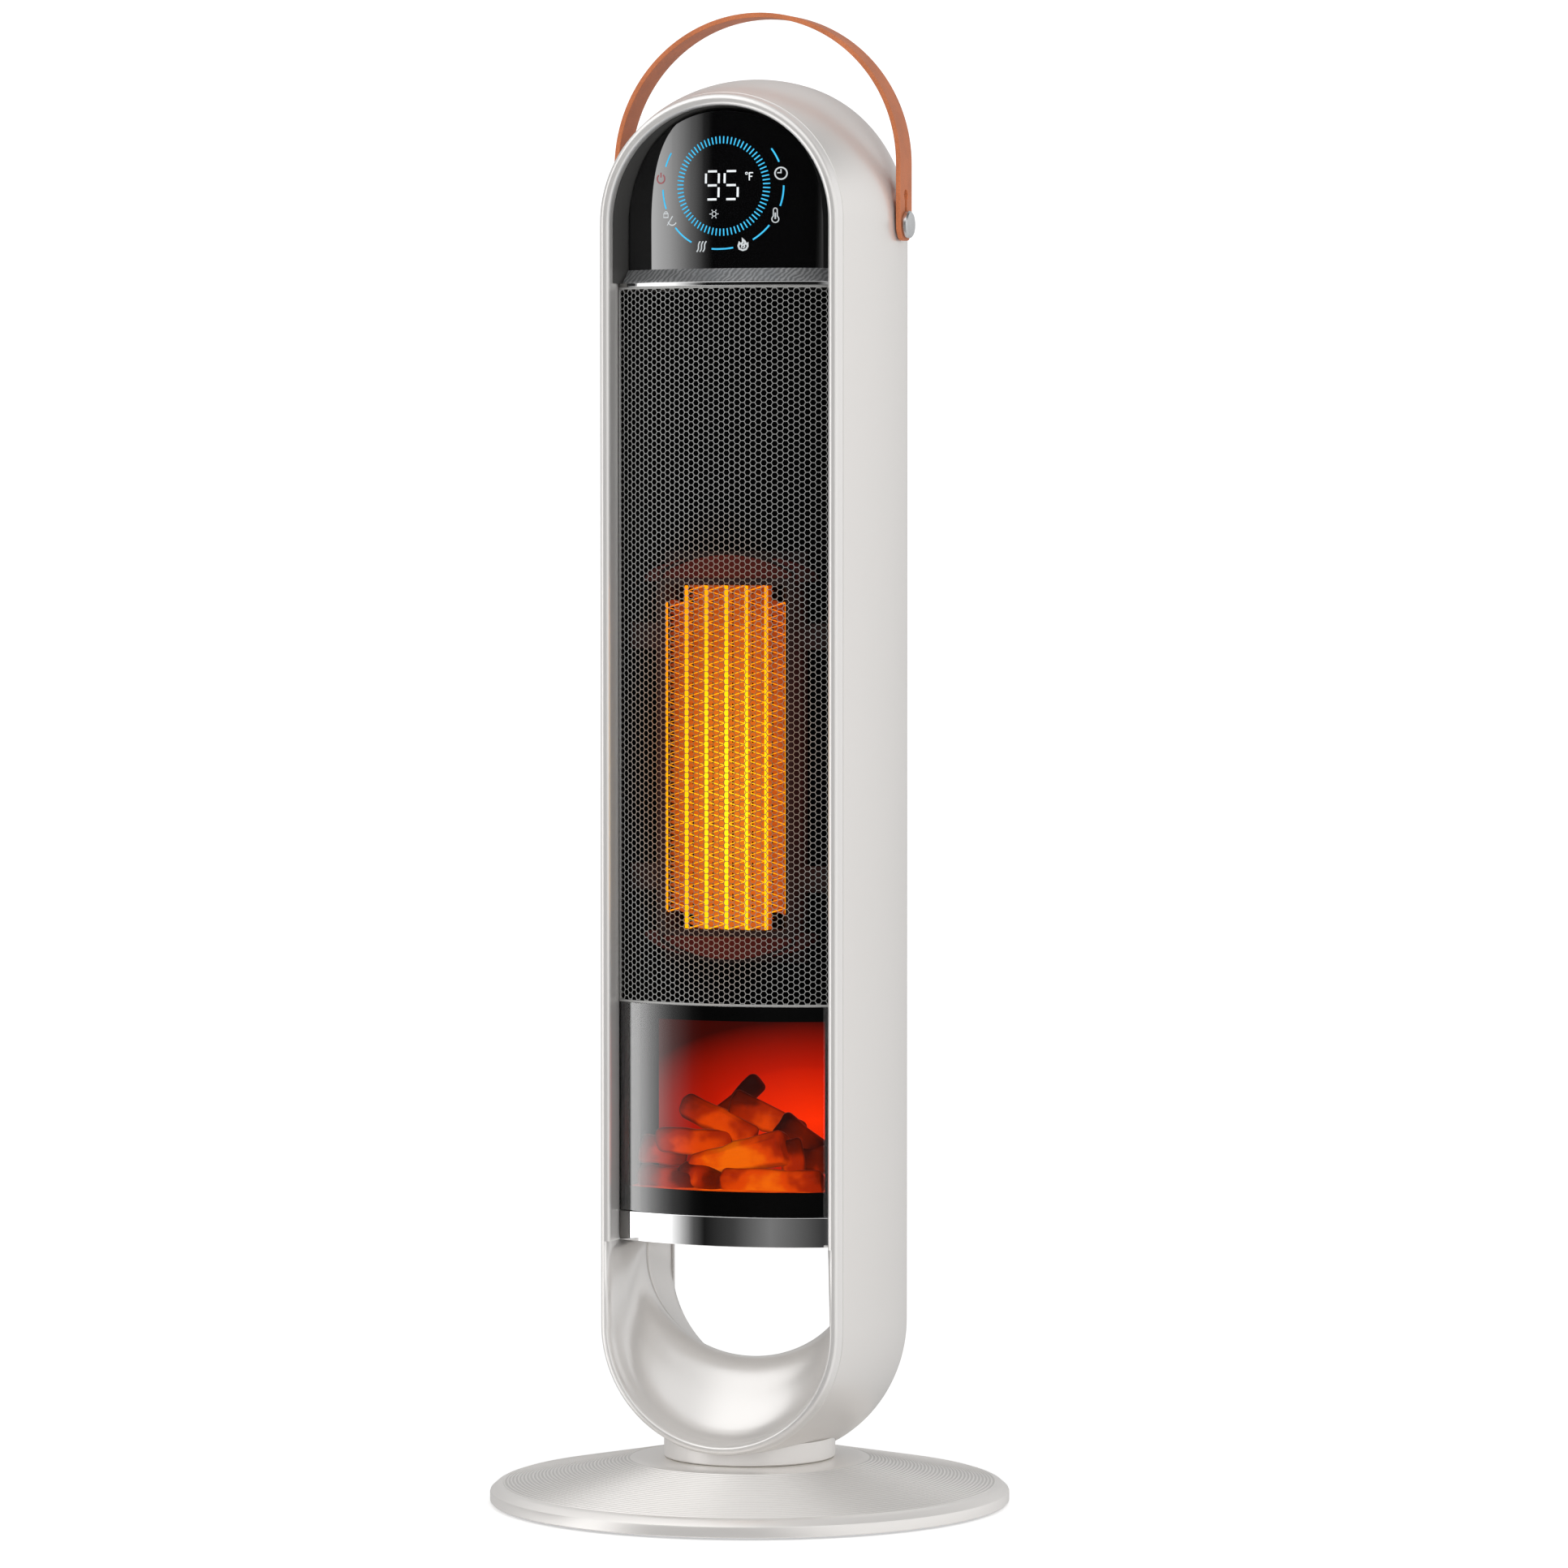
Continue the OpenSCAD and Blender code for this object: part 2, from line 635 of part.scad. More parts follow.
module rear_shell() {
    back_plate_half_w = back_panel_half_w + 4;
    color("whitesmoke") difference() {
        union() {
            hoop() shell_half();
            difference() {
                deep(inner_back_y, back_y) intersection() {
                    union() {
                        translate([0, arch_low_z]) circle(r = back_plate_half_w);
                        translate([-back_plate_half_w, arch_low_z]) square([2 * back_plate_half_w, column_z]);
                    }
                    translate([-back_plate_half_w, 0]) square([2 * back_plate_half_w, column_z]);
                }
                loop_back_hole();
            }
            scoop_back();
            difference() {
                translate([0, neck_screw_ys[1], neck_top_z]) cylinder(r = boss_r, h = rear_boss_z - neck_top_z);
                loft([section_ring(back_section(0), -loop_crest_y, seat_gap + scoop_wall / 2, column_z),
                      section_ring(back_section(1), back_y, seat_gap + scoop_wall / 2, column_z)]);
            }
        }
        translate([0, 0, -1]) cylinder(r = neck_r + 0.2, h = neck_top_z + 1);
        for (side = [-1, 1]) translate([side * (crown_half_w - 8), crown_y, stud_z]) rotate([0, 90, 0])
            cylinder(r = stud_r + 0.1, h = 30, center = true);
        translate([0, neck_screw_ys[1], neck_top_z - 1]) cylinder(r = screw_r + 0.05, h = 12);
        translate([gland_x, back_y, gland_z]) rotate([90, 0, 0]) cylinder(r = gland_r - 1.4, h = 8, center = true);
        block([switch_x - switch_w / 2 - 0.2, back_y - 8, gland_z - switch_h / 2 - 0.2],
              [switch_x + switch_w / 2 + 0.2, back_y + 2, gland_z + switch_h / 2 + 0.2]);
    }
}

module front_frame() {
    seam_x = plan_side(0, seam_y)[0][0];
    wall_depth = front_edge_y + 6 - rim_y;
    color("white") difference() {
        union() {
            hoop() {
                translate([rim_half_w + rim_r, rim_y]) circle(r = rim_r);
                polygon([[rim_half_w, rim_y], [rim_half_w + rim_thick, rim_y], [seam_x, seam_y], [rim_half_w, seam_y]]);
            }
            high_arch() translate([rim_half_w, rim_y + 1]) square([frame_wall, wall_depth]);
            for (side = [0, 1]) mirror([side, 0, 0])
                block([rim_half_w, rim_y + 1, column_z], [rim_half_w + frame_wall, rim_y + 1 + wall_depth, arch_high_z]);
            scoop_front();
            translate([0, neck_screw_ys[0], neck_top_z]) cylinder(r = boss_r, h = front_boss_z - neck_top_z);
        }
        translate([0, 0, -1]) cylinder(r = neck_r + 0.2, h = neck_top_z + 1);
        translate([0, neck_screw_ys[0], neck_top_z - 1]) cylinder(r = screw_r + 0.05, h = 8.5);
    }
}

module back_cover() {
    slot_low_z = fan_z + (fan_h - (slot_rows - 1) * slot_pitch) / 2;
    color("gainsboro") difference() {
        deep(inner_back_y, back_y) {
            translate([0, column_z + cover_gap + (arch_high_z - column_z - cover_gap) / 2])
                square([2 * back_panel_half_w, arch_high_z - column_z - cover_gap], center = true);
            translate([0, arch_high_z]) circle(r = back_panel_half_w);
        }
        for (row = [0 : slot_rows - 1]) for (side = [-1, 1])
            translate([side * (slot_w + slot_web) / 2, back_y, slot_low_z + row * slot_pitch])
                cube([slot_w, 4 * shell_wall, slot_h], center = true);
        for (z = cover_screw_zs) for (side = [-1, 1]) translate([side * cover_screw_x, back_y, z]) rotate([90, 0, 0]) {
            cylinder(r = screw_r + 0.2, h = 8);
            translate([0, 0, -1]) cylinder(r = screw_head_r + 0.2, h = 2.2);
        }
    }
}

module cover_screws() {
    color("silver") for (z = cover_screw_zs) for (side = [-1, 1])
        translate([side * cover_screw_x, back_y - 1.2, z]) rotate([90, 0, 0]) screw(9, head_h = 1);
}

module dust_filter() {
    z_low = fan_z - filter_reach;
    z_high = fan_z + fan_h + filter_reach;
    y_back = inner_back_y - seat_gap;
    color("gray") {
        difference() {
            block([-filter_half_w, y_back - 1.1, z_low], [filter_half_w, y_back, z_high]);
            block([-filter_half_w + filter_edge, y_back - 5, z_low + filter_edge],
                  [filter_half_w - filter_edge, y_back + 5, z_high - filter_edge]);
        }
        block([-filter_half_w + filter_edge - 0.1, y_back - 0.8, z_low + filter_edge - 0.1],
              [filter_half_w - filter_edge + 0.1, y_back - 0.5, z_high - filter_edge + 0.1]);
    }
}

// Inner frame that the working parts are fixed to: two rails, five shelves and a panel behind the grille.
module chassis() {
    color("dimgray") difference() {
        union() {
            for (side = [-1, 1]) {
                block([min(side * rail_half_w, side * (rail_half_w - rail_thick)), rail_front_y, column_z + 3.2],
                      [max(side * rail_half_w, side * (rail_half_w - rail_thick)), rail_back_y, top_shelf_z]);
                for (z = cover_screw_zs) translate([side * cover_screw_x, inner_back_y, z])
                    rotate([90, 0, 0]) cylinder(r = 4.2, h = 14);
            }
            for (z = [grille_z + seat_gap, bearing_shelf_z, motor_shelf_z, board_shelf_z])
                block([-rail_half_w + eps, panel_y, z], [rail_half_w - eps, rail_back_y - 3, z + shelf_h]);
            block([-rail_half_w + eps, shelf_front_y, grille_z + seat_gap],
                  [rail_half_w - eps, panel_y + 1, grille_z + seat_gap + shelf_h]);
            difference() {
                block([-rail_half_w + eps, panel_y, grille_z + seat_gap + eps], [rail_half_w - eps, panel_y + panel_thick, top_shelf_z - eps]);
                block([-duct_half_w - seat_gap, panel_y - 1, duct_low_z - seat_gap],
                      [duct_half_w + seat_gap, panel_y + panel_thick + 1, duct_high_z + seat_gap]);
            }
            column_block(front_r - 2.6, top_shelf_z - shelf_h, top_shelf_z, rail_half_w, rail_back_y);
            for (side = [-1, 1]) block([side * 40 - 4, rail_back_y - 12, board_shelf_z + shelf_h - eps],
                                       [side * 40 + 4, rail_back_y - 8, board_shelf_z + shelf_h + 20]);
        }
        for (z = cover_screw_zs) for (side = [-1, 1]) translate([side * cover_screw_x, inner_back_y + 1, z])
            rotate([90, 0, 0]) cylinder(r = screw_r + 0.05, h = 12);
        translate([0, fan_y, bearing_shelf_z - 1]) cylinder(r = bearing_r, h = shelf_h + 2);
        translate([0, fan_y, motor_shelf_z - 1]) cylinder(r = shaft_r + 2, h = shelf_h + 2);
    }
}

// Outline of the display glass, seen from the front.
module display_outline(half_w, z_low) {
    intersection() {
        union() {
            translate([-half_w, z_low]) square([2 * half_w, arch_high_z - z_low]);
            translate([0, arch_high_z]) circle(r = half_w);
        }
        translate([-half_w - 1, z_low]) square([2 * half_w + 2, 2 * half_w + arch_high_z]);
    }
}

module display_glass() {
    color("black") intersection() {
        deep(-display_y - 5, display_edge_y + 8) display_outline(display_half_w, ledge_z + seat_gap);
        translate([0, display_axis_y, ledge_z - 1]) difference() {
            cylinder(r = display_r, h = 200);
            translate([0, 0, -1]) cylinder(r = display_r - display_thick, h = 202);
        }
    }
}

// Depth of the back of the glass at a place across.
function glass_back_y(x) = display_axis_y - sqrt(pow(display_r - display_thick, 2) - x * x);

// Wall round the display that narrows from the rim to the glass, with a flange behind the glass.
module display_bezel() {
    y_front = rim_y + 3;
    flange_y = glass_back_y(display_half_w) + seat_gap;
    wall_x = rim_half_w - seat_gap;
    glass_x = display_half_w + seat_gap;
    profile = [[wall_x, y_front], [wall_x, flange_y + bezel_flange_h], [bezel_flange_x, flange_y + bezel_flange_h],
               [bezel_flange_x, flange_y], [glass_x, flange_y], [glass_x, display_edge_y - 1]];
    color("dimgray") {
        high_arch() polygon(profile);
        for (side = [0, 1]) mirror([side, 0, 0]) translate([0, 0, ledge_z])
            linear_extrude(height = arch_high_z - ledge_z) polygon(profile);
    }
}

module display_board() {
    pillar_h = glass_back_y(display_half_w) - display_board_y - display_board_h;
    color("darkgreen") deep(display_board_y, display_board_y + display_board_h)
        display_outline(display_board_half_w, display_z + 2);
    color("black") block([-8, display_board_y + display_board_h - eps, arch_high_z - 6], [8, display_board_y + 4, arch_high_z + 6]);
    color("dimgray") for (side = [-1, 1]) for (z = [display_z + 8, arch_high_z])
        translate([side * (bezel_flange_x + 3), display_board_y + display_board_h - eps, z]) rotate([-90, 0, 0])
            cylinder(r = 2.5, h = pillar_h);
}

module digit_block() {
    color("white") block([-17, glass_back_y(17) + seat_gap, dial_z - 10], [17, display_board_y, dial_z + 12]);
}

module touch_springs() {
    color("gold") for (a = [180, 210, 238, 302, 330, 0]) {
        x = key_ring_r * cos(a);
        y_front = glass_back_y(abs(x) + spring_r) + seat_gap;
        translate([x, y_front, dial_z + key_ring_r * sin(a)]) rotate([-90, 0, 0])
            cylinder(r = spring_r, h = display_board_y - y_front);
    }
}

// Sloping ledge between the bright line and the display glass.
module ledge() {
    r_low = front_r - 0.9;
    r_high = front_axis_y + display_y + seat_gap + ledge_lip;
    r_in = r_low - 24;
    color("gray") difference() {
        intersection() {
            translate([0, front_axis_y, ledge_z]) rotate_extrude()
                polygon([[r_in, 0], [r_low, 0], [r_low, 0.6], [r_high, ledge_h], [r_in, ledge_h]]);
            block([-display_half_w + 0.2, front_apex_y - 5, ledge_z - 1],
                  [display_half_w - 0.2, front_edge_y + 12, display_z + 1]);
        }
        translate([0, display_axis_y, ledge_z - 1]) cylinder(r = display_r + seat_gap, h = ledge_h + 2);
    }
}

module trim_strip() {
    color("silver") front_sheet(front_r + 0.4, 4, trim_z, ledge_z, panel_half_w);
}

// Hexagon openings, drawn at a multiple of their real spacing to keep the sheet light.
grille_cell = 13.4;
module front_grille() {
    hex_r = grille_cell / sqrt(3) - 0.9;
    col_step = grille_cell * sqrt(3) / 2;
    cols = floor((panel_half_w - 4) / col_step);
    rows = floor((grille_h - 10) / grille_cell);
    z_first = grille_z + (grille_h - (rows - 1) * grille_cell) / 2 - grille_cell / 4;
    color("dimgray") intersection() {
        front_sheet(front_r, grille_thick, grille_z, trim_z, panel_half_w);
        deep(front_apex_y - 4, front_edge_y + 12) difference() {
            translate([-panel_half_w - 1, grille_z - 1]) square([2 * panel_half_w + 2, grille_h + 2]);
            for (c = [-cols : cols]) for (r = [0 : rows - 1])
                translate([c * col_step, z_first + r * grille_cell + (c % 2 == 0 ? 0 : grille_cell / 2)])
                    circle(r = hex_r, $fn = 6);
        }
    }
}

module heater_frame() {
    w = heater_half_w + heater_frame_t + 0.3;
    color("saddlebrown") difference() {
        union() {
            block([-w, heater_y - 1.5, heater_z - heater_frame_t], [w, heater_y + heater_frame_depth, heater_z + bar_h + heater_frame_t]);
            for (z = [heater_z + 20, heater_z + bar_h - 34])
                block([-rail_half_w + rail_thick + 0.1, heater_y + 8, z], [rail_half_w - rail_thick - 0.1, heater_y + 11, z + 14]);
        }
        block([-heater_half_w - 0.2, heater_y - 5, heater_z - 0.2], [heater_half_w + 0.2, heater_y + 40, heater_z + bar_h + 0.2]);
    }
}

module heating_bars() {
    color("gold") for (i = [0 : bars - 1]) let (x = (i - (bars - 1) / 2) * bar_pitch)
        block([x - bar_w / 2, heater_y, heater_z], [x + bar_w / 2, heater_y + bar_depth, heater_z + bar_h]);
}

// One folded fin sheet between two bars.
module fin_stack(h) {
    folds = floor(h / fold_pitch);
    step = h / folds;
    half = fin_w / 2;
    up = [for (i = [0 : folds]) [(i % 2 == 0 ? -half : half - fin_sheet), i * step]];
    down = [for (i = [folds : -1 : 0]) [(i % 2 == 0 ? -half + fin_sheet : half), i * step]];
    deep(heater_y, heater_y + bar_depth) polygon(concat(up, down));
}

module fin_stacks() {
    color("orange") for (i = [0 : bars]) let (edge = i == 0 || i == bars ? corner_step : 0)
        translate([(i - bars / 2) * bar_pitch, 0, heater_z + edge]) fin_stack(bar_h - 2 * edge);
}

// Duct that carries the air from the fan to the heater, with a curved lip above and below.
module heat_duct() {
    y_front = heater_y + 2;
    w = heater_half_w + heater_frame_t + 0.6;
    z_low = heater_z - heater_frame_t - seat_gap;
    z_high = heater_z + bar_h + heater_frame_t + seat_gap;
    lip_wall = 2;
    color("firebrick") {
        difference() {
            block([-duct_half_w, duct_back_y - duct_plate_h, duct_low_z], [duct_half_w, duct_back_y, duct_high_z]);
            block([-heater_half_w, duct_back_y - 10, heater_z], [heater_half_w, duct_back_y + 10, heater_z + bar_h]);
        }
        for (end = [0, 1]) translate([0, 0, end == 0 ? z_low : z_high]) mirror([0, 0, 1 - end])
            deep(y_front, duct_back_y - duct_plate_h + eps) difference() {
                intersection() {
                    translate([0, -duct_lip_r]) circle(r = duct_lip_r + duct_lip);
                    translate([-w, 0]) square([2 * w, duct_lip + 1]);
                }
                intersection() {
                    translate([0, -duct_lip_r]) circle(r = duct_lip_r + duct_lip - lip_wall);
                    translate([-w + lip_wall, -1]) square([2 * (w - lip_wall), duct_lip + 1]);
                }
            }
    }
}

module thermal_cutout() {
    color("silver") translate([0, duct_back_y - duct_plate_h, heater_z + bar_h + heater_frame_t + 6.3])
        rotate([90, 0, 0]) {
            cylinder(r = 5, h = 3);
            cylinder(r = 3.6, h = 8);
        }
}

module thermal_fuse() {
    color("lightgray") translate([-24, duct_back_y - duct_plate_h - 2.2, heater_z + bar_h + heater_frame_t + 4.3])
        rotate([0, 90, 0]) cylinder(r = 2, h = 14);
}

module fan_housing() {
    z_low = bearing_shelf_z + shelf_h;
    y_front = duct_back_y + seat_gap;
    color("gray") translate([0, 0, z_low]) linear_extrude(height = motor_shelf_z - z_low) for (side = [0, 1])
        mirror([side, 0]) {
            intersection() {
                translate([0, fan_y]) difference() {
                    circle(r = fan_shell_r + fan_shell_wall);
                    circle(r = fan_shell_r);
                }
                polygon([[0, fan_y], [60, fan_y - 26], [60, fan_y + (side == 0 ? 6 : 22)]]);
            }
            translate([fan_shell_r + 0.4 - 2, y_front]) square([fan_shell_wall + 1, fan_y - 10 - y_front]);
        }
}

module fan_wheel() {
    discs = 5;
    disc_h = 1.6;
    color("lightslategray") translate([0, fan_y, fan_z]) {
        difference() {
            union() {
                for (i = [0 : discs - 1]) translate([0, 0, i * (fan_h - disc_h) / (discs - 1)])
                    cylinder(r = fan_r, h = disc_h);
                cylinder(r = shaft_r + 3, h = 10);
                translate([0, 0, fan_h - 10]) cylinder(r = shaft_r + 3, h = 10);
            }
            translate([0, 0, -1]) cylinder(r = shaft_r, h = fan_h + 2);
        }
        linear_extrude(height = fan_h) for (i = [0 : fan_blades - 1]) rotate(360 * i / fan_blades)
            polygon([[fan_r - 6.5, 0], [fan_r - 3, 0.9], [fan_r - 0.3, 3], [fan_r - 0.9, 3.5], [fan_r - 3.4, 1.8], [fan_r - 6.6, 0.9]]);
    }
}

module fan_shaft() {
    color("silver") translate([0, fan_y, shaft_z]) cylinder(r = shaft_r, h = motor_shelf_z + shelf_h + fan_motor_h - 6 - shaft_z);
}

module fan_bearing() {
    color("goldenrod") translate([0, fan_y, bearing_shelf_z - bearing_h + shelf_h]) difference() {
        union() {
            cylinder(r = bearing_r, h = bearing_h);
            cylinder(r = bearing_r + 2, h = bearing_h - shelf_h);
        }
        translate([0, 0, -1]) cylinder(r = shaft_r + shaft_play, h = bearing_h + 2);
    }
}

module fan_motor() {
    color("silver") translate([0, fan_y, motor_shelf_z + shelf_h]) difference() {
        union() {
            cylinder(r = fan_motor_r, h = 5);
            cylinder(r = fan_motor_r - 3, h = fan_motor_h);
            cylinder(r = 8, h = fan_motor_h + 3);
        }
        translate([0, 0, -1]) cylinder(r = shaft_r + shaft_play, h = fan_motor_h - 2);
    }
}

module flame_window() {
    color([0.8, 0.85, 0.9, 0.35]) front_sheet(front_r, window_thick, window_z, grille_z, panel_half_w);
}

module flame_chamber() {
    color("black") {
        difference() {
            column_block(lip_r, column_z + 3.2, grille_z, chamber_half_w, chamber_back_y);
            column_block(front_r + 5, column_z + 3.2 + chamber_wall, grille_z - chamber_wall,
                         chamber_half_w - chamber_wall, chamber_back_y - chamber_wall);
            block([-100, -100, window_z - 1], [100, front_edge_y, grille_z + 1]);
        }
        front_sheet(lip_r, chamber_wall, column_z + 3.2, window_z + lip_low_h, chamber_half_w);
        front_sheet(lip_r, chamber_wall, grille_z - lip_high_h, grille_z, chamber_half_w);
    }
}

module ember_bed() {
    z = window_z + lip_low_h - 4;
    color("orangered") intersection() {
        column_block(lip_r - chamber_wall - seat_gap, z, z + 4, chamber_half_w - chamber_wall - seat_gap, chamber_back_y - chamber_wall - seat_gap);
        block([-100, -100, z], [100, 100, z + 4]);
    }
    color("orangered") for (x = [-44, 44]) block([x - 3, -10, column_z + 3.2 + chamber_wall], [x + 3, -4, z + eps]);
}

// A log: a seven sided bar with tapered ends, turned and placed on the pile.
module log_piece(x, y, z, turn, tilt, length, r) {
    translate([x, y, z]) rotate([0, tilt, turn]) rotate([0, 90, 0])
        translate([0, 0, -length / 2]) cylinder(r = r, h = length, $fn = 9);
}

module log_pile() {
    z = window_z + lip_low_h;
    color("darkorange") difference() {
        union() {
            log_piece(-30, -18, z + 5, 12, 4, 44, 7);
            log_piece(0, -30, z + 5, -18, 0, 38, 7);
            log_piece(30, -20, z + 6, 20, -4, 44, 8);
            log_piece(-12, -18, z + 14, 35, 12, 46, 7.5);
            log_piece(16, -24, z + 16, -25, 14, 40, 7.5);
            log_piece(2, -14, z + 27, 8, -22, 44, 7.5);
            log_piece(20, -12, z + 34, -20, 30, 34, 7);
            log_piece(12, -4, z + 40, 10, -50, 36, 7);
        }
        block([-100, -100, z - 40], [100, 100, z]);
    }
}

module glow_panel() {
    color("red") block([-chamber_half_w + chamber_wall + 0.3, chamber_back_y - chamber_wall - 2, window_z + lip_low_h + 0.3],
                       [chamber_half_w - chamber_wall - 0.3, chamber_back_y - chamber_wall, grille_z - chamber_wall - 0.3]);
}

module led_board() {
    z = column_z + 3.2 + chamber_wall;
    color("white") {
        block([-40, -36, z], [40, 4, z + 1.6]);
        for (x = [-30 : 15 : 30]) for (y = [-28, -6]) block([x - 2.5, y - 2.5, z + 1.6 - eps], [x + 2.5, y + 2.5, z + 3.2]);
    }
}

module chrome_band() {
    color("gainsboro") front_sheet(front_r, 1.4, column_z, window_z - eps, panel_half_w);
}

module column_floor() {
    color("whitesmoke") column_block(front_r - 1.4 - seat_gap, column_z, column_z + 2.9, panel_half_w - 2, inner_back_y - 0.2);
}

module power_board() {
    color("darkgreen") block([-board_half_w, board_y, board_shelf_z + shelf_h + 1],
                             [board_half_w, board_y + 1.6, board_shelf_z + shelf_h + 1 + board_h]);
}

module relays() {
    color("royalblue") for (i = [0 : 2]) block([-36 + 20 * i, board_y - 15, board_shelf_z + 14], [-20 + 20 * i, board_y, board_shelf_z + 34]);
}

module capacitors() {
    color("navy") for (i = [0 : 2]) translate([-30 + 22 * i, board_y, board_shelf_z + 50]) rotate([90, 0, 0])
        cylinder(r = 6, h = 18);
}

module handle_strap() {
    color("chocolate") translate([0, crown_y, stud_z]) difference() {
        union() {
            translate([0, 0, strap_rise]) mirror([0, 0, 1]) rotate([-90, 0, 0]) rotate_extrude(angle = 180)
                translate([strap_r, -strap_w / 2]) square([strap_thick, strap_w]);
            for (side = [-1, 1]) translate([side * (strap_r + strap_thick / 2), 0, 0]) rotate([0, 90, 0])
                linear_extrude(height = strap_thick, center = true) {
                    translate([-strap_rise, -strap_w / 2]) square([strap_rise, strap_w]);
                    polygon([for (i = [-6 : 6]) let (a = i / 6 * asin(1), x = min(strap_tail, strap_w / 2 * cos(a)))
                        [x, strap_w / 2 * sin(a)]]);
                }
        }
        for (side = [-1, 1]) translate([side * (strap_r + strap_thick / 2), 0, 0]) rotate([0, 90, 0])
            linear_extrude(height = strap_thick + 2, center = true) {
                circle(r = stud_r + stud_play);
                translate([-slot_top + slot_eye_r, -slot_half_w]) square([slot_top - slot_eye_r, 2 * slot_half_w]);
                translate([-slot_top + slot_eye_r, 0]) circle(r = slot_eye_r);
            }
    }
}

module handle_studs() {
    head_x = strap_r + strap_thick + seat_gap;
    color("silver") for (side = [0, 1]) mirror([side, 0, 0]) translate([0, crown_y, stud_z]) rotate([0, 90, 0]) {
        translate([0, 0, crown_half_w - 12]) cylinder(r = stud_r, h = head_x + 1 - crown_half_w + 12);
        translate([0, 0, head_x]) cylinder(r = stud_head_r, h = 1.9);
        translate([0, 0, head_x + 1.9 - eps]) cylinder(r1 = stud_head_r, r2 = stud_head_r - 0.8, h = 0.8);
    }
}

module stud_nuts() {
    color("silver") for (side = [0, 1]) mirror([side, 0, 0])
        translate([crown_half_w - shell_wall - 4.6, crown_y, stud_z]) rotate([0, 90, 0]) difference() {
            cylinder(r = 5, h = 4, $fn = 6);
            translate([0, 0, -1]) cylinder(r = stud_r, h = 6);
        }
}

module cord_gland() {
    color("dimgray") translate([gland_x, back_y - shell_wall - 3, gland_z]) rotate([-90, 0, 0]) difference() {
        union() {
            cylinder(r = gland_r + 0.5, h = 2.8);
            cylinder(r = gland_r - 1.5, h = shell_wall + 6);
            translate([0, 0, shell_wall + 3.2]) cylinder(r = gland_r, h = 3);
        }
        translate([0, 0, -1]) cylinder(r = gland_bore_r, h = shell_wall + 10);
    }
}

module switch_frame() {
    y_face = back_y + 0.1;
    rim = 1.5;
    color("black") difference() {
        union() {
            block([switch_x - switch_w / 2, back_y - switch_depth, gland_z - switch_h / 2],
                  [switch_x + switch_w / 2, y_face + 1, gland_z + switch_h / 2]);
            block([switch_x - switch_w / 2 - rim, y_face, gland_z - switch_h / 2 - rim],
                  [switch_x + switch_w / 2 + rim, y_face + 1.2, gland_z + switch_h / 2 + rim]);
        }
        block([switch_x - switch_w / 2 + switch_wall, back_y - 9.4, gland_z - switch_h / 2 + switch_wall],
              [switch_x + switch_w / 2 - switch_wall, back_y + 5, gland_z + switch_h / 2 - switch_wall]);
        translate([switch_x, rocker_pivot_y, gland_z - switch_h / 2 - 1])
            cylinder(r = rocker_pin_r + shaft_play, h = switch_h + 2);
    }
}

// Rocker that tips about an upright pin in the switch frame; its ends are round about that pin.
module switch_rocker() {
    r = switch_w / 2 - switch_wall - rocker_play;
    low_angle = 12;
    high_angle = low_angle + rocker_travel;
    base_angle = 16;
    left = [for (i = [0 : 3]) let (a = mix(180 - high_angle, 180 + base_angle, i / 3)) [r * cos(a), r * sin(a)]];
    right = [for (i = [0 : 3]) let (a = mix(-base_angle, low_angle, i / 3)) [r * cos(a), r * sin(a)]];
    color("black") {
        translate([switch_x, rocker_pivot_y, gland_z - switch_h / 2 + switch_wall + rocker_play])
            linear_extrude(height = switch_h - 2 * switch_wall - 2 * rocker_play)
                polygon(concat([[0, 2.2]], left, right));
        translate([switch_x, rocker_pivot_y, gland_z - switch_h / 2 + 0.2])
            cylinder(r = rocker_pin_r, h = switch_h - 0.4);
    }
}

base_cover();
base_plate();
base_weight();
rubber_feet();
base_screws();
glide_ring();
fixed_gear();
gear_screws();
swivel_neck();
spindle_retainer();
retainer_screws();
neck_screws();
swing_motor();
drive_pinion();
tilt_switch();
rear_shell();
front_frame();
back_cover();
cover_screws();
dust_filter();
chassis();
display_glass();
display_bezel();
display_board();
digit_block();
touch_springs();
ledge();
trim_strip();
front_grille();
heater_frame();
heating_bars();
fin_stacks();
heat_duct();
thermal_cutout();
thermal_fuse();
fan_housing();
fan_wheel();
fan_shaft();
fan_bearing();
fan_motor();
flame_window();
flame_chamber();
log_pile();
ember_bed();
glow_panel();
led_board();
chrome_band();
column_floor();
power_board();
relays();
capacitors();
handle_strap();
handle_studs();
stud_nuts();
cord_gland();
switch_frame();
switch_rocker();
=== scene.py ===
"""Skins, glass, marks and finishes of a ceramic tower heater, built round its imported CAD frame."""

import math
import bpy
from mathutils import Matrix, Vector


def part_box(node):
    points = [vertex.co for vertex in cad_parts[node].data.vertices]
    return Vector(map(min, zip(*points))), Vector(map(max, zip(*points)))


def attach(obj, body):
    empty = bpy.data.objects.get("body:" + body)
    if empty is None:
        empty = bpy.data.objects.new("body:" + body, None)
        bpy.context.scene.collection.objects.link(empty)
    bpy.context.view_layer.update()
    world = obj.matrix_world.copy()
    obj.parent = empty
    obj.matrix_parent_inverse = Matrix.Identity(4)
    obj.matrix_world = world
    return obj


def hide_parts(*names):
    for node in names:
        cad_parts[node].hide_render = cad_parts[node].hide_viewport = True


bl_info = {
    "name": "Ceramic Tower Heater",
    "version": (1, 0, 0),
    "blender": (4, 5, 0),
    "location": "View3D > Sidebar > Heater",
    "description": "Builds the looks of a ceramic tower heater round its CAD frame",
    "category": "Object",
}

import bmesh
import bpy
from mathutils import Matrix, Vector, noise

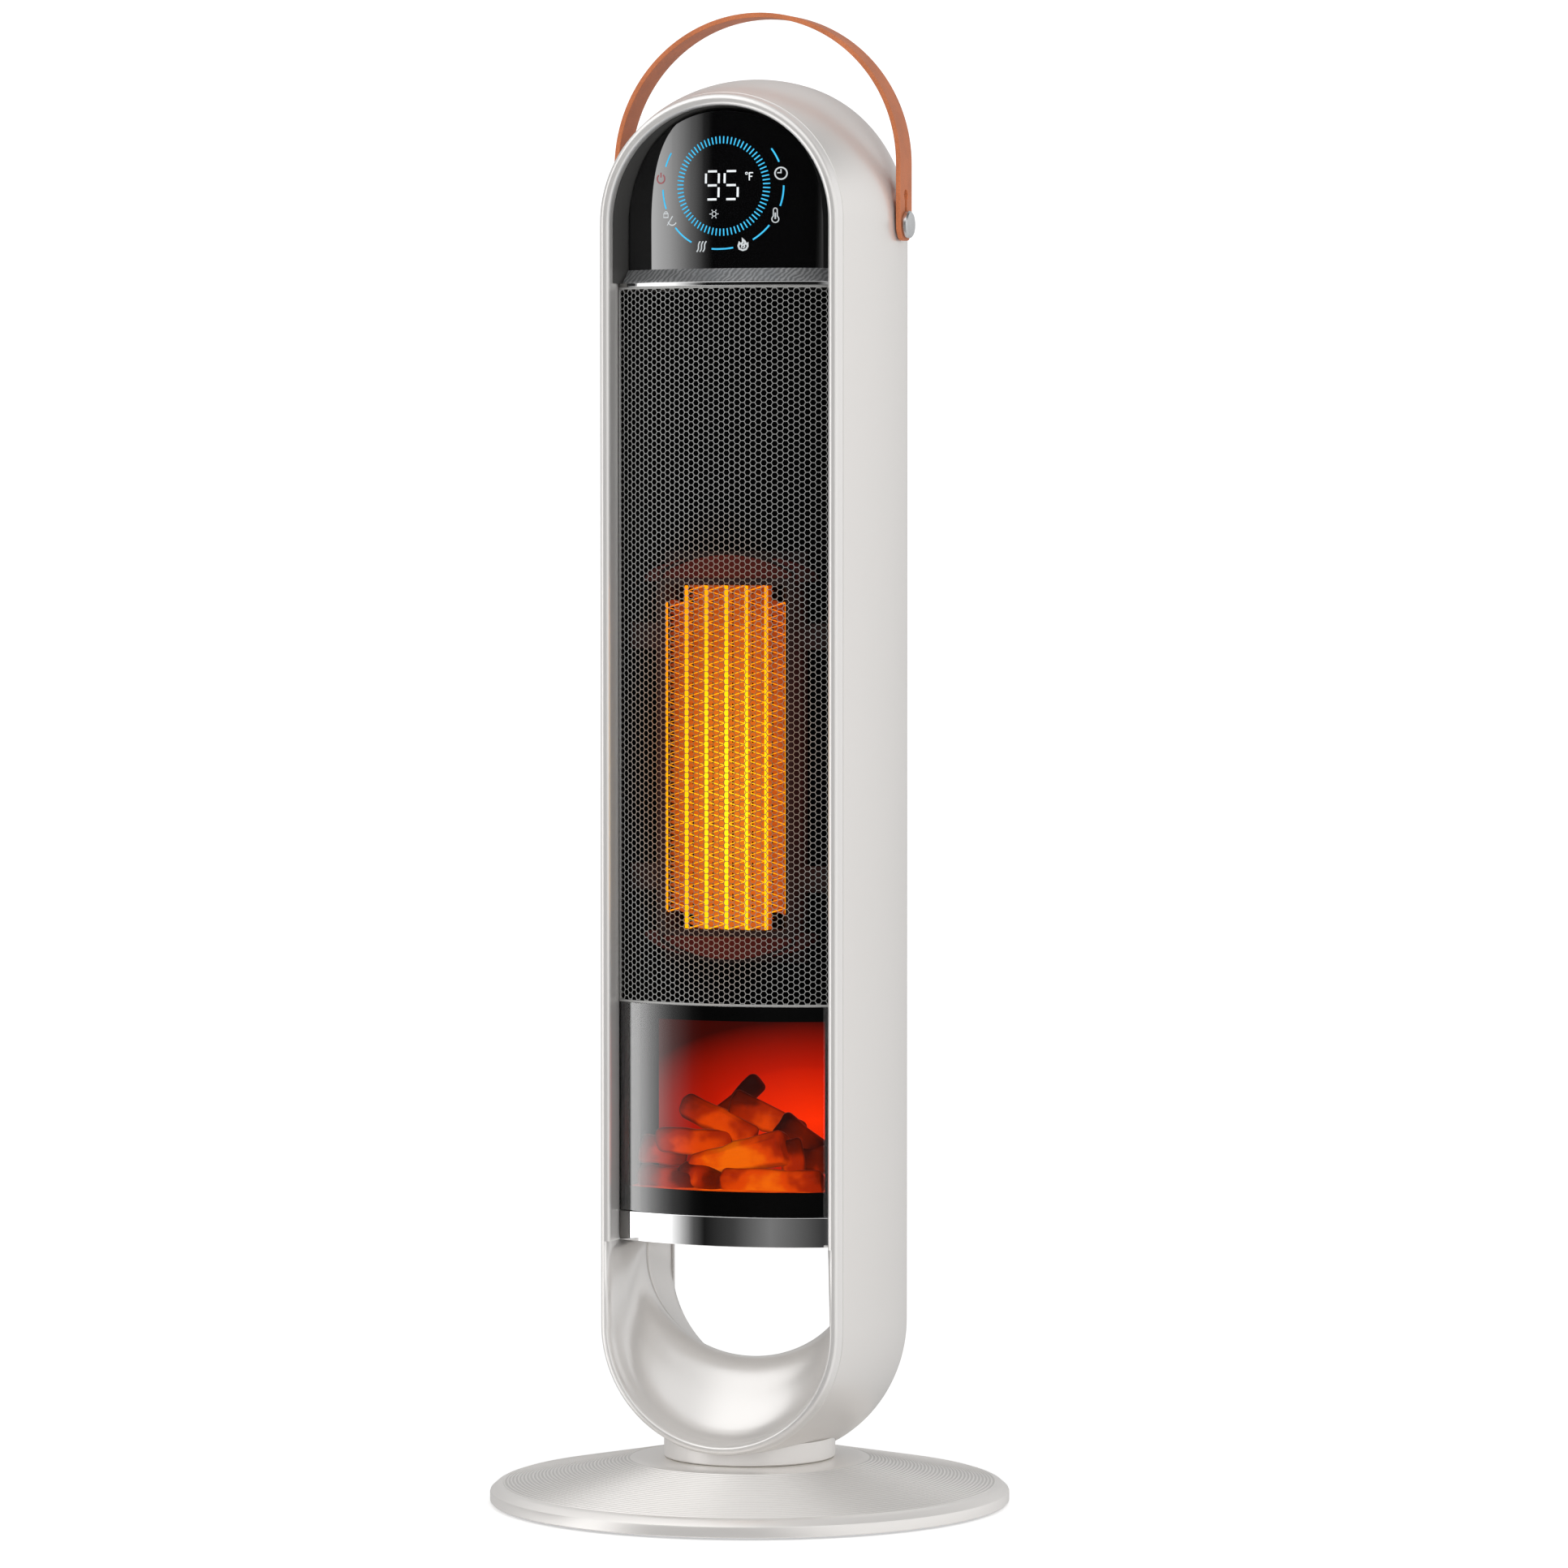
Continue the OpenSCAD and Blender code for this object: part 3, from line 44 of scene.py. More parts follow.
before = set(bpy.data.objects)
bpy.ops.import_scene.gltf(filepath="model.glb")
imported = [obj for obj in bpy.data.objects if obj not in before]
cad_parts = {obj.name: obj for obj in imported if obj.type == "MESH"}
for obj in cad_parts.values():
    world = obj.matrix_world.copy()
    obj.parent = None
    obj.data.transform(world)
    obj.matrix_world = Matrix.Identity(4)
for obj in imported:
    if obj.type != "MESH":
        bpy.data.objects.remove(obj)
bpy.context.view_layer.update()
ARCH_STEPS = 64


def length(label, note, value):
    return bpy.props.FloatProperty(
        name=label, description=note, default=value, min=0.0, precision=5, unit="LENGTH")


def colour(label, note, value):
    return bpy.props.FloatVectorProperty(
        name=label, description=note, default=value, min=0.0, max=1.0, size=3, subtype="COLOR")


class HousingSizes(bpy.types.PropertyGroup):
    low_z: length("Lower arch centre", "Height of the lower arch's centre", 0.0984)
    high_z: length("Upper arch centre", "Height of the upper arch's centre", 0.6864)
    crown_half_w: length("Half width", "Half width at the crown of the shell", 0.0785)
    crown_r: length("Crown radius", "Radius of the crowned outside, seen from above", 0.205)
    crown_y: length("Crown depth", "How far the crown lies behind the base axis", 0.020)
    back_y: length("Back depth", "How far the flat back lies behind the base axis", 0.044)
    fillet: length("Back rounding", "Radius between the crown and the back", 0.013)
    wall: length("Wall", "Wall of the shell", 0.0026)
    rim_half_w: length("Opening half width", "Half width between the rim's inner faces", 0.0616)
    rim_r: length("Rim radius", "Radius of the rounded front rim", 0.0029)
    rim_depth: length("Rim depth", "How far the rim's round lies in front of the base axis", 0.0466)
    seam_depth: length("Seam depth", "How far the seam lies in front of the base axis", 0.0430)
    wall_depth: length("Inner wall", "Depth of the wall inside the rim", 0.0158)
    flange_x: length("Back opening", "Half width of the opening for the back cover", 0.0598)


class LoopSizes(bpy.types.PropertyGroup):
    half_w: length("Half width", "Half width of the loop hole", 0.0607)
    crest_z: length("Crest height", "Height of the hole's widest line at its crest", 0.133)
    crest_drop: length("Crest drop", "Drop from that line to the bottom of the crest", 0.052)
    crest_depth: length("Crest depth", "How far the crest lies in front of the base axis", 0.004)
    back_z: length("Back height", "Height of the hole's widest line at the back", 0.121)
    wall: length("Wall", "Wall round the hole", 0.0024)
    blend: length("Blend", "How much deeper the rim runs out into the bowl", 0.0065)
    blend_reach: length("Blend reach", "Depth over which the bowl comes back to its own line", 0.030)
    soften: length("Softening", "Reach that rounds the crest off", 0.007)


class FrontSizes(bpy.types.PropertyGroup):
    low_z: length("Underside", "Height of the column's underside", 0.143)
    window_z: length("Window height", "Lower edge of the flame window", 0.159)
    grille_z: length("Grille height", "Lower edge of the grille", 0.271)
    trim_z: length("Trim height", "Lower edge of the bright line", 0.6527)
    ledge_z: length("Ledge height", "Lower edge of the ledge", 0.6548)
    front_r: length("Front radius", "Radius of the curved front, seen from above", 0.130)
    axis_y: length("Front axis", "How far the front's axis lies behind the base axis", 0.079)
    half_w: length("Half width", "Half width of the pieces of the front", 0.0613)
    cell: length("Cell", "Spacing of the hexagons up the grille", 0.00335)
    wire: length("Wire", "Width of the metal between two hexagons", 0.00034)
    sheet: length("Sheet", "Thickness of the grille", 0.00035)
    window: length("Window", "Thickness of the window", 0.002)


class DisplaySizes(bpy.types.PropertyGroup):
    radius: length("Glass radius", "Radius of the glass, seen from above", 0.120)
    axis_y: length("Glass axis", "How far the axis of the glass lies behind the base axis", 0.0778)
    half_w: length("Half width", "Half width of the glass", 0.0588)
    low_z: length("Lower edge", "Lower edge of the glass", 0.6551)
    thick: length("Thickness", "Thickness of the glass", 0.003)
    dial_z: length("Dial height", "Height of the dial's centre", 0.7055)
    ring_r: length("Ring radius", "Outer radius of the ring of ticks", 0.0263)
    tick: length("Tick", "Length of a tick", 0.0038)
    tick_w: length("Tick width", "Width of a tick", 0.00066)
    keys_r: length("Key ring", "Radius that the key marks lie on", 0.0340)
    stroke: length("Stroke", "Width of a line of the marks", 0.00075)


class BaseSizes(bpy.types.PropertyGroup):
    radius: length("Radius", "Radius of the base", 0.140)
    low_z: length("Lower edge", "Lower edge of the cover", 0.001)
    edge_z: length("Edge height", "Height of the upright edge", 0.0068)
    ring_z: length("Cone foot", "Height where the cone starts", 0.0101)
    chamfer: length("Chamfer", "Width of the chamfer round the edge", 0.004)
    top_z: length("Top height", "Height of the flat top", 0.0244)
    flat_r: length("Top radius", "Radius of the flat top", 0.061)
    wall: length("Wall", "Wall of the cover", 0.0024)
    ridge: length("Ridge spacing", "Spacing of the fine ridges", 0.00195)
    lift: length("Ridge height", "How far the ridges stand out of the cone", 0.00042)
    plain: length("Plain rim", "Width left plain at the cone's outer and inner ends", 0.003)
    neck_r: length("Neck radius", "Radius of the neck", 0.0462)
    neck_z: length("Neck foot", "Lower edge of the neck", 0.0249)
    neck_top: length("Neck top", "Upper edge of the neck", 0.036)
    spindle_r: length("Spindle radius", "Radius of the hollow spindle", 0.016)


class HeaterColours(bpy.types.PropertyGroup):
    shell: colour("Shell", "Pearl white of the housing", (0.84, 0.815, 0.79))
    rim: colour("Front", "White of the front frame", (0.86, 0.84, 0.82))
    inner_grey: colour("Grey wall", "Wall round the display", (0.075, 0.074, 0.072))
    leather: colour("Leather", "Grain side of the strap", (0.53, 0.165, 0.068))
    leather_edge: colour("Leather edge", "Cut edges of the strap", (0.64, 0.20, 0.078))
    steel: colour("Steel", "Bright steel", (0.78, 0.78, 0.79))
    wire: colour("Grille", "Metal of the grille", (0.40, 0.40, 0.39))
    tick: colour("Ticks", "Cyan of the dial", (0.035, 0.50, 0.85))
    digits: colour("Digits", "White of the figures", (0.80, 0.84, 0.86))
    power: colour("Power key", "Red of the power key", (0.33, 0.09, 0.10))


def sizes(*names):
    """The settings of the groups named."""
    return [getattr(bpy.context.scene, "heater_" + name) for name in names]


M = {}

# Shaping


def only_verts(geom):
    return [g for g in geom if isinstance(g, bmesh.types.BMVert)]


def only_edges(geom):
    return [g for g in geom if isinstance(g, bmesh.types.BMEdge)]


def strand(bm, points, closed=False):
    """A row of joined points, which turn and pull start from."""
    verts = [bm.verts.new(p) for p in points]
    edges = [bm.edges.new(pair) for pair in zip(verts, verts[1:])]
    if closed:
        edges.append(bm.edges.new((verts[-1], verts[0])))
    return verts + edges


def pull(bm, geom, move=(0, 0, 0), place=None):
    """Extrudes the edges in geom, and moves the new ones by move or by the function place."""
    made = bmesh.ops.extrude_edge_only(bm, edges=only_edges(geom))["geom"]
    verts = only_verts(made)
    if place:
        for v in verts:
            v.co = place(v.co)
    else:
        bmesh.ops.translate(bm, vec=move, verts=verts)
    fresh = set(verts)
    return verts + [e for e in only_edges(made) if fresh.issuperset(e.verts)]


def turn(bm, geom, centre, angle, steps, axis=(0, 1, 0), merge=False):
    """Sweeps geom round an axis, and returns where it ends."""
    made = bmesh.ops.spin(bm, geom=geom, cent=centre, axis=axis, dvec=(0, 0, 0),
                          angle=angle, steps=steps, use_merge=merge)
    return made["geom_last"]


def lathe(profile, steps):
    """A bm turned from a closed profile of (radius, height)."""
    bm = bmesh.new()
    ring = strand(bm, [(x, 0, z) for x, z in profile], True)
    turn(bm, ring, (0, 0, 0), 2 * math.pi, steps, (0, 0, 1), True)
    return bm


def arc(cx, cy, r, start, end, steps):
    """Points (x, y) of an arc between two angles in degrees."""
    angles = [math.radians(start + (end - start) * i / steps) for i in range(steps + 1)]
    return [(cx + r * math.cos(a), cy + r * math.sin(a)) for a in angles]


def slice_at(bm, at, way, dist, clear=False):
    """Cuts bm along a plane, and takes off what lies past it if clear is set."""
    everything = bm.verts[:] + bm.edges[:] + bm.faces[:]
    bmesh.ops.bisect_plane(bm, geom=everything, dist=dist, plane_co=at, plane_no=way, clear_outer=clear)


def close_ends(bm):
    bmesh.ops.holes_fill(bm, edges=[e for e in bm.edges if e.is_boundary], sides=0)


def finish_mesh(bm, name, finish, slot, replaces=(), body="tower", merge=1e-6, smooth=32, outward=True):
    """Makes bm a piece of the scene that rides on a body; finish is a name in M, or several."""
    if merge:
        bmesh.ops.remove_doubles(bm, verts=bm.verts, dist=merge)
    if outward:
        bmesh.ops.recalc_face_normals(bm, faces=bm.faces)
    mesh = bpy.data.meshes.new(name)
    bm.to_mesh(mesh)
    bm.free()
    mesh.shade_smooth()
    mesh.set_sharp_from_angle(angle=math.radians(smooth))
    for key in [finish] if isinstance(finish, str) else finish:
        mesh.materials.append(M[key])
    piece = bpy.data.objects.new(name, mesh)
    bpy.context.scene.collection.objects.link(piece)
    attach(piece, body)
    if replaces:
        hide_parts(*replaces)
    return piece


def soft_edges(piece, width, segments=2, angle=30):
    """Rounds a piece's sharp edges."""
    mod = piece.modifiers.new("Soft edges", "BEVEL")
    mod.width = width
    mod.segments = segments
    mod.limit_method = "ANGLE"
    mod.angle_limit = math.radians(angle)
    mod.harden_normals = True


def wall(piece, thickness, offset=-1.0):
    """Gives an open skin its wall, away from its outward side or, at offset 0, on both sides."""
    mod = piece.modifiers.new("Wall", "SOLIDIFY")
    mod.thickness = thickness
    mod.offset = offset


def rounded_copy(node, finish, slot, width, segments=2, angle=30, body="tower"):
    """A copy of a CAD node with its loose triangles joined and its edges rounded."""
    bm = bmesh.new()
    bm.from_mesh(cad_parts[node].data)
    bmesh.ops.remove_doubles(bm, verts=bm.verts, dist=2e-6)
    bmesh.ops.dissolve_limit(bm, angle_limit=math.radians(1), verts=bm.verts, edges=bm.edges)
    piece = finish_mesh(bm, node + "_finished", finish, slot, (node,), body, merge=0, outward=False)
    soft_edges(piece, width, segments, angle)
    return piece


# Finishes


class Nodes:
    """Short ways to add nodes to one shader tree; most return the new node's result."""

    def __init__(self, tree):
        self.tree = tree

    def give(self, socket, value):
        """Wires a socket to another, or sets it to a plain value."""
        if isinstance(value, bpy.types.NodeSocket):
            self.tree.links.new(value, socket)
        else:
            socket.default_value = value

    def send(self, sockets, **values):
        for key, value in values.items():
            self.give(sockets[key.replace("_", " ")], value)

    def put(self, kind, settings=None, **inputs):
        """Adds a node and returns it. An input goes by its name with _ for a space, or as iN."""
        node = self.tree.nodes.new(kind)
        for key, value in (settings or {}).items():
            setattr(node, key, value)
        for key, value in inputs.items():
            numbered = key[0] == "i" and key[1:].isdigit()
            self.give(node.inputs[int(key[1:]) if numbered else key.replace("_", " ")], value)
        return node

    def group(self, name, **inputs):
        node = self.tree.nodes.new("ShaderNodeGroup")
        node.node_tree = bpy.data.node_groups[name]
        self.send(node.inputs, **inputs)
        return node.outputs

    def place(self, kind="Object"):
        return self.put("ShaderNodeTexCoord").outputs[kind]

    def maths(self, operation, *values):
        inputs = {f"i{number}": value for number, value in enumerate(values)}
        return self.put("ShaderNodeMath", {"operation": operation}, **inputs).outputs[0]

    def vector(self, operation, *values):
        inputs = {f"i{number}": value for number, value in enumerate(values)}
        node = self.put("ShaderNodeVectorMath", {"operation": operation}, **inputs)
        return node.outputs["Value" if operation in ("LENGTH", "DOT_PRODUCT") else "Vector"]

    def scale(self, vector, by):
        return self.put("ShaderNodeVectorMath", {"operation": "SCALE"}, i0=vector, Scale=by).outputs[0]

    def remap(self, value, low, high, to_low=0.0, to_high=1.0):
        """Maps the range low to high onto to_low to to_high, and holds what lies outside."""
        return self.put("ShaderNodeMapRange", Value=value, From_Min=low, From_Max=high,
                        To_Min=to_low, To_Max=to_high).outputs[0]

    def mix(self, share, first, second):
        return self.put("ShaderNodeMix", {"data_type": "RGBA"}, i0=share, i6=first, i7=second).outputs[2]

    def noise(self, place, scale, detail, rough=0.5):
        return self.put("ShaderNodeTexNoise", Vector=place, Scale=scale, Detail=detail,
                        Roughness=rough).outputs[0]

    def ramp(self, share, stops, blend="LINEAR"):
        """A colour ramp; each stop is (position, grey or colour)."""
        node = self.put("ShaderNodeValToRGB", i0=share)
        node.color_ramp.interpolation = blend
        points = node.color_ramp.elements
        while len(points) < len(stops):
            points.new(0.5)
        for point, (at, value) in zip(points, stops):
            point.position = at
            point.color = (value, value, value, 1) if isinstance(value, (int, float)) else (*value, 1)
        return node.outputs[0]


F, C, V = "NodeSocketFloat", "NodeSocketColor", "NodeSocketVector"
SURFACE = (("Colour", C), ("Roughness", F), ("Height", F))


def new_group(name, inputs, outputs=SURFACE):
    """A shader node group; returns its nodes, what comes in and what goes out."""
    tree = bpy.data.node_groups.new(name, "ShaderNodeTree")
    for label, kind, value in inputs:
        tree.interface.new_socket(label, in_out="INPUT", socket_type=kind).default_value = value
    for label, kind in outputs:
        tree.interface.new_socket(label, in_out="OUTPUT", socket_type=kind)
    return Nodes(tree), tree.nodes.new("NodeGroupInput").outputs, tree.nodes.new("NodeGroupOutput").inputs


def build_groups():
    """The effects that several materials share."""
    n, given, out = new_group("Moulded grain", [
        ("Colour", C, (0.8, 0.8, 0.8, 1)), ("Grain scale", F, 1500.0), ("Drift", F, 0.05),
        ("Roughness", F, 0.4), ("Spread", F, 0.06)])
    broad = n.noise(n.place(), 14.0, 3.0)
    lifted = n.maths("MULTIPLY_ADD", broad, given["Drift"], 1.0)
    centred = n.maths("MULTIPLY_ADD", given["Drift"], -0.5, lifted)
    rough = n.maths("MULTIPLY_ADD", broad, given["Spread"], given["Roughness"])
    n.send(out, Colour=n.scale(given["Colour"], centred), Roughness=rough,
           Height=n.noise(n.place(), given["Grain scale"], 3.0, 0.6))

    n, given, out = new_group("Drawn metal", [
        ("Colour", C, (0.8, 0.8, 0.8, 1)), ("Line scale", V, (400.0, 400.0, 12.0)), ("Roughness", F, 0.25)])
    stretched = n.put("ShaderNodeMapping", Vector=n.place(), Scale=given["Line scale"])
    lines = n.noise(stretched.outputs[0], 1.0, 4.0, 0.7)
    rough = n.maths("MULTIPLY_ADD", n.noise(n.place(), 60.0, 2.0), 0.12, given["Roughness"])
    n.send(out, Colour=n.scale(given["Colour"], n.remap(lines, 0.0, 1.0, 0.93, 1.05)),
           Roughness=rough, Height=lines)

    n, given, out = new_group("Hide grain", [("Colour", C, (0.5, 0.2, 0.1, 1)), ("Pore scale", F, 1400.0)])
    pores = n.put("ShaderNodeTexVoronoi", {"feature": "DISTANCE_TO_EDGE"}, Vector=n.place(),
                  Scale=given["Pore scale"])
    crease = n.remap(pores.outputs["Distance"], 0.0, 0.18)
    cloud = n.noise(n.place(), 70.0, 5.0)
    shade = n.maths("MULTIPLY", n.remap(cloud, 0.3, 0.7, 0.88, 1.08), n.remap(crease, 0.0, 1.0, 0.86, 1.0))
    n.send(out, Colour=n.scale(given["Colour"], shade), Roughness=n.remap(cloud, 0.0, 1.0, 0.42, 0.58),
           Height=crease)

    n, given, out = new_group("Glow about a point", [
        ("Centre", V, (0.0, 0.0, 0.0)), ("Reach", V, (0.05, 0.05, 0.05)), ("Hot", C, (1, 0.5, 0.1, 1)),
        ("Warm", C, (0.6, 0.1, 0.02, 1)), ("Cool", C, (0.02, 0.0, 0.0, 1)), ("Flicker", F, 0.2)], SURFACE[:1])
    away = n.vector("DIVIDE", n.vector("SUBTRACT", n.place(), given["Centre"]), given["Reach"])
    stir = n.maths("SUBTRACT", n.noise(n.place(), 75.0, 2.0), 0.5)
    dist = n.maths("MULTIPLY_ADD", stir, given["Flicker"], n.vector("LENGTH", away))
    near = n.mix(n.remap(dist, 0.0, 0.55), given["Hot"], given["Warm"])
    n.send(out, Colour=n.mix(n.remap(dist, 0.5, 1.0), near, given["Cool"]))


def begin(name):
    """A new material, its nodes and its shader's inputs."""
    material = bpy.data.materials.new(name)
    material.use_nodes = True
    n = Nodes(material.node_tree)
    n.tree.nodes.clear()
    shader = n.put("ShaderNodeBsdfPrincipled")
    n.put("ShaderNodeOutputMaterial", Surface=shader.outputs[0])
    return material, n, shader.inputs


def set_shader(n, shader, effect, bump, **values):
    """Wires an effect's colour, height and uneven roughness to the shader, and sets its plain numbers."""
    n.send(shader, Base_Color=effect["Colour"])
    if "Roughness" not in values:
        n.send(shader, Roughness=effect["Roughness"])
    if bump:
        lift = n.put("ShaderNodeBump", Height=effect["Height"], Distance=bump, Strength=0.6)
        n.send(shader, Normal=lift.outputs[0])
    n.send(shader, **values)


def plastic(name, tint, rough=0.4, grain=1500.0, bump=0.00002, drift=0.05, spread=0.06, **values):
    material, n, shader = begin(name)
    effect = n.group("Moulded grain", Colour=(*tint, 1), Grain_scale=grain, Drift=drift,
                     Roughness=rough, Spread=spread)
    set_shader(n, shader, effect, bump, **values)
    return material


def metal(name, tint, rough=0.25, lines=(400.0, 400.0, 12.0), bump=0.00002, **values):
    material, n, shader = begin(name)
    effect = n.group("Drawn metal", Colour=(*tint, 1), Line_scale=lines, Roughness=rough)
    set_shader(n, shader, effect, bump, Metallic=1.0, **values)
    return material


def hide(name, tint, pores=1400.0, bump=0.00006):
    material, n, shader = begin(name)
    effect = n.group("Hide grain", Colour=(*tint, 1), Pore_scale=pores)
    set_shader(n, shader, effect, bump, Specular_IOR_Level=0.35)
    return material


def glowing(name, centre, reach, hot, warm, cool, strength, flicker, base=(0.01, 0.005, 0.003), bump=0.0):
    """A surface that gives light round a centre and dims away from it."""
    material, n, shader = begin(name)
    glow = n.group("Glow about a point", Centre=centre, Reach=reach, Hot=(*hot, 1), Warm=(*warm, 1),
                   Cool=(*cool, 1), Flicker=flicker)
    grain = n.group("Moulded grain", Colour=(*base, 1), Grain_scale=700.0, Drift=0.3, Roughness=0.7,
                    Spread=0.1)
    n.send(shader, Emission_Color=glow["Colour"])
    set_shader(n, shader, grain, bump, Specular_IOR_Level=0.2, Emission_Strength=strength)
    return material


def ringed(name, tint, b):
    """Pearl whose fine ring grooves are painted darker than the ridges between them, as painted shade in the
    grooves.
    """
    material, n, shader = begin(name)
    away = n.vector("LENGTH", n.vector("MULTIPLY", n.place(), (1.0, 1.0, 0.0)))
    inward = n.maths("SUBTRACT", b.radius - b.chamfer - b.plain, away)
    part = n.maths("FRACT", n.maths("DIVIDE", inward, b.ridge))
    # Painted shade: the ramp darkens each groove between the ridges.
    painted_groove_shade = n.ramp(part, [(0.0, 0.80), (0.12, 1.0), (0.5, 1.0), (0.62, 0.72), (0.95, 0.72), (1.0, 0.80)])
    outside = n.maths("LESS_THAN", inward, 0.0)
    inside = n.maths("LESS_THAN", away, b.flat_r + b.plain)
    # depth is the painted groove shade, held at 1 on the plain rims and on the flat top.
    depth = n.maths("MAXIMUM", painted_groove_shade, n.maths("MAXIMUM", outside, inside))
    effect = n.group("Moulded grain", Colour=n.scale(tint, depth), Grain_scale=2200.0, Drift=0.02,
                     Roughness=0.32, Spread=0.06)
    set_shader(n, shader, effect, 0.000006, Metallic=0.5, Coat_Weight=0.25, Coat_Roughness=0.25)
    return material


def mark_light(name, tint, strength):
    """A printed mark lit from behind, a little unevenly."""
    material, n, shader = begin(name)
    level = n.remap(n.noise(n.place(), 220.0, 1.0), 0.3, 0.7, 0.9, 1.08)
    n.send(shader, Emission_Color=n.scale((*tint,), level), Emission_Strength=strength,
           Base_Color=(*(0.2 * c for c in tint), 1), Roughness=0.3)
    return material


def brick_pattern(name, offset, depth, rough, **inputs):
    """A board or a mesh with a brick pattern across its front."""
    material, n, shader = begin(name)
    turned = n.put("ShaderNodeMapping", Vector=n.place(), Rotation=(math.pi / 2, 0, 0)).outputs[0]
    pattern = n.put("ShaderNodeTexBrick", {"offset": offset}, Vector=turned, **inputs).outputs
    lift = n.put("ShaderNodeBump", Height=pattern[1], Distance=depth)
    n.send(shader, Base_Color=pattern[0], Normal=lift.outputs[0], Roughness=rough)
    return material


def grille_coat(wire):
    """Grey paint with the heater's warm glow painted into its colour round the heater, as painted light."""
    material, n, shader = begin("Grille coat")
    # Painted light: the base colour warms round the heater, as if lit by its glow.
    warm = n.group("Glow about a point", Centre=(0.0, -0.05, 0.4025), Reach=(0.060, 0.2, 0.135),
                   Hot=(0.34, 0.15, 0.02, 1), Warm=(0.34, 0.17, 0.07, 1), Cool=(*wire, 1), Flicker=0.05)
    effect = n.group("Moulded grain", Colour=warm["Colour"], Grain_scale=2400.0, Drift=0.05,
                     Roughness=0.38, Spread=0.06)
    set_shader(n, shader, effect, 0.00001, Metallic=0.35)
    return material


def ledge_film():
    """Grey film with a slanting hatch."""
    material, n, shader = begin("Ledge film")
    slanted = n.put("ShaderNodeMapping", Vector=n.place(), Rotation=(0, math.radians(-32), 0)).outputs[0]
    hatch = n.put("ShaderNodeTexWave", {"wave_type": "BANDS", "bands_direction": "X"}, Vector=slanted,
                  Scale=130.0, Distortion=6.0, Detail=3.0, Detail_Scale=1.5).outputs[1]
    mixed = n.maths("MULTIPLY", hatch, n.noise(n.place(), 45.0, 2.0))
    greys = [(0.0, (0.12, 0.122, 0.125)), (0.25, (0.19, 0.193, 0.196)), (0.6, (0.33, 0.335, 0.34))]
    n.send(shader, Base_Color=n.ramp(mixed, greys), Roughness=0.28, Metallic=0.25)
    return material


def log_glow():
    """Glowing wood, by the warmth stored in the logs; painted shade dims it where a face turns from the
    front, and a painted pinkish rim lights the faces turned furthest away.
    """
    material, n, shader = begin("Glowing logs")
    stored = n.put("ShaderNodeAttribute", {"attribute_name": "warmth"}).outputs["Fac"]
    shift = n.remap(n.noise(n.place(), 90.0, 2.0), 0.3, 0.7, -0.11, 0.11)
    heats = [(0.0, (0.022, 0.002, 0.001)), (0.3, (0.12, 0.006, 0.0)), (0.55, (0.40, 0.018, 0.0)),
             (0.8, (0.80, 0.060, 0.0)), (1.0, (1.0, 0.15, 0.001))]
    inner = n.ramp(n.maths("ADD", stored, shift), heats, "EASE")
    # Painted shade and rim: the glow is dimmed and tinted by how far each face turns from a fixed front
    # direction.
    ahead = n.vector("DOT_PRODUCT", n.place("Normal"), (0.34, -0.935, 0.096))
    clamped = {"operation": "SUBTRACT", "use_clamp": True}
    turned = n.put("ShaderNodeMath", clamped, i0=1.0, i1=ahead).outputs[0]
    glow_with_painted_turn_shade = n.scale(inner, n.remap(turned, 0.30, 0.75, 1.0, 0.25))
    glow_with_painted_rim = n.mix(n.remap(turned, 0.78, 1.0), glow_with_painted_turn_shade, (0.26, 0.055, 0.035, 1))
    n.send(shader, Emission_Color=glow_with_painted_rim)
    grain = n.group("Moulded grain", Colour=(0.02, 0.006, 0.004, 1), Grain_scale=500.0, Drift=0.3,
                    Roughness=0.5, Spread=0.1)
    set_shader(n, shader, grain, 0.00005, Emission_Strength=1.1, Specular_IOR_Level=0.3)
    return material


def glass(name, tint, drift, grain, **values):
    """Perfectly smooth glass."""
    material, n, shader = begin(name)
    effect = n.group("Moulded grain", Colour=(*tint, 1), Grain_scale=grain, Drift=drift)
    set_shader(n, shader, effect, 0.0, Roughness=0.0, **values)
    return material


def build_pearls(c, b):
    """The pearl white finishes; all but the back cover's are part metal under a clear coat."""
    # The base's and the neck's tints are the shell's pearl painted lighter, as painted light; the back
    # cover's tint is the shell's made darker.
    base_tint_painted_lighter, neck_tint_painted_lighter, darker = (tuple(share * v for v in c.shell) for share in (1.06, 1.08, 0.93))
    M["base_pearl"] = ringed("Base pearl", base_tint_painted_lighter, b)
    M["back_pearl"] = plastic("Back cover pearl", darker, 0.42, 1800.0, 0.00003, 0.03)
    for key, name, tint, rough, grain, bump, drift, metallic, coat, coat_rough in (
            ("pearl_shell", "Pearl shell", c.shell, 0.30, 2600.0, 0.000004, 0.02, 0.55, 0.3, 0.2),
            ("pearl_front", "Pearl front", c.rim, 0.26, 2600.0, 0.000003, 0.015, 0.5, 0.4, 0.16),
            # The neck's tint is painted lighter than the shell's, as painted light.
            ("neck_pearl", "Neck pearl", neck_tint_painted_lighter, 0.3, 2200.0, 0.000006, 0.02, 0.2, 0.3, 0.2)):
        M[key] = plastic(name, tint, rough, grain, bump, drift, Metallic=metallic,
                         Coat_Weight=coat, Coat_Roughness=coat_rough)


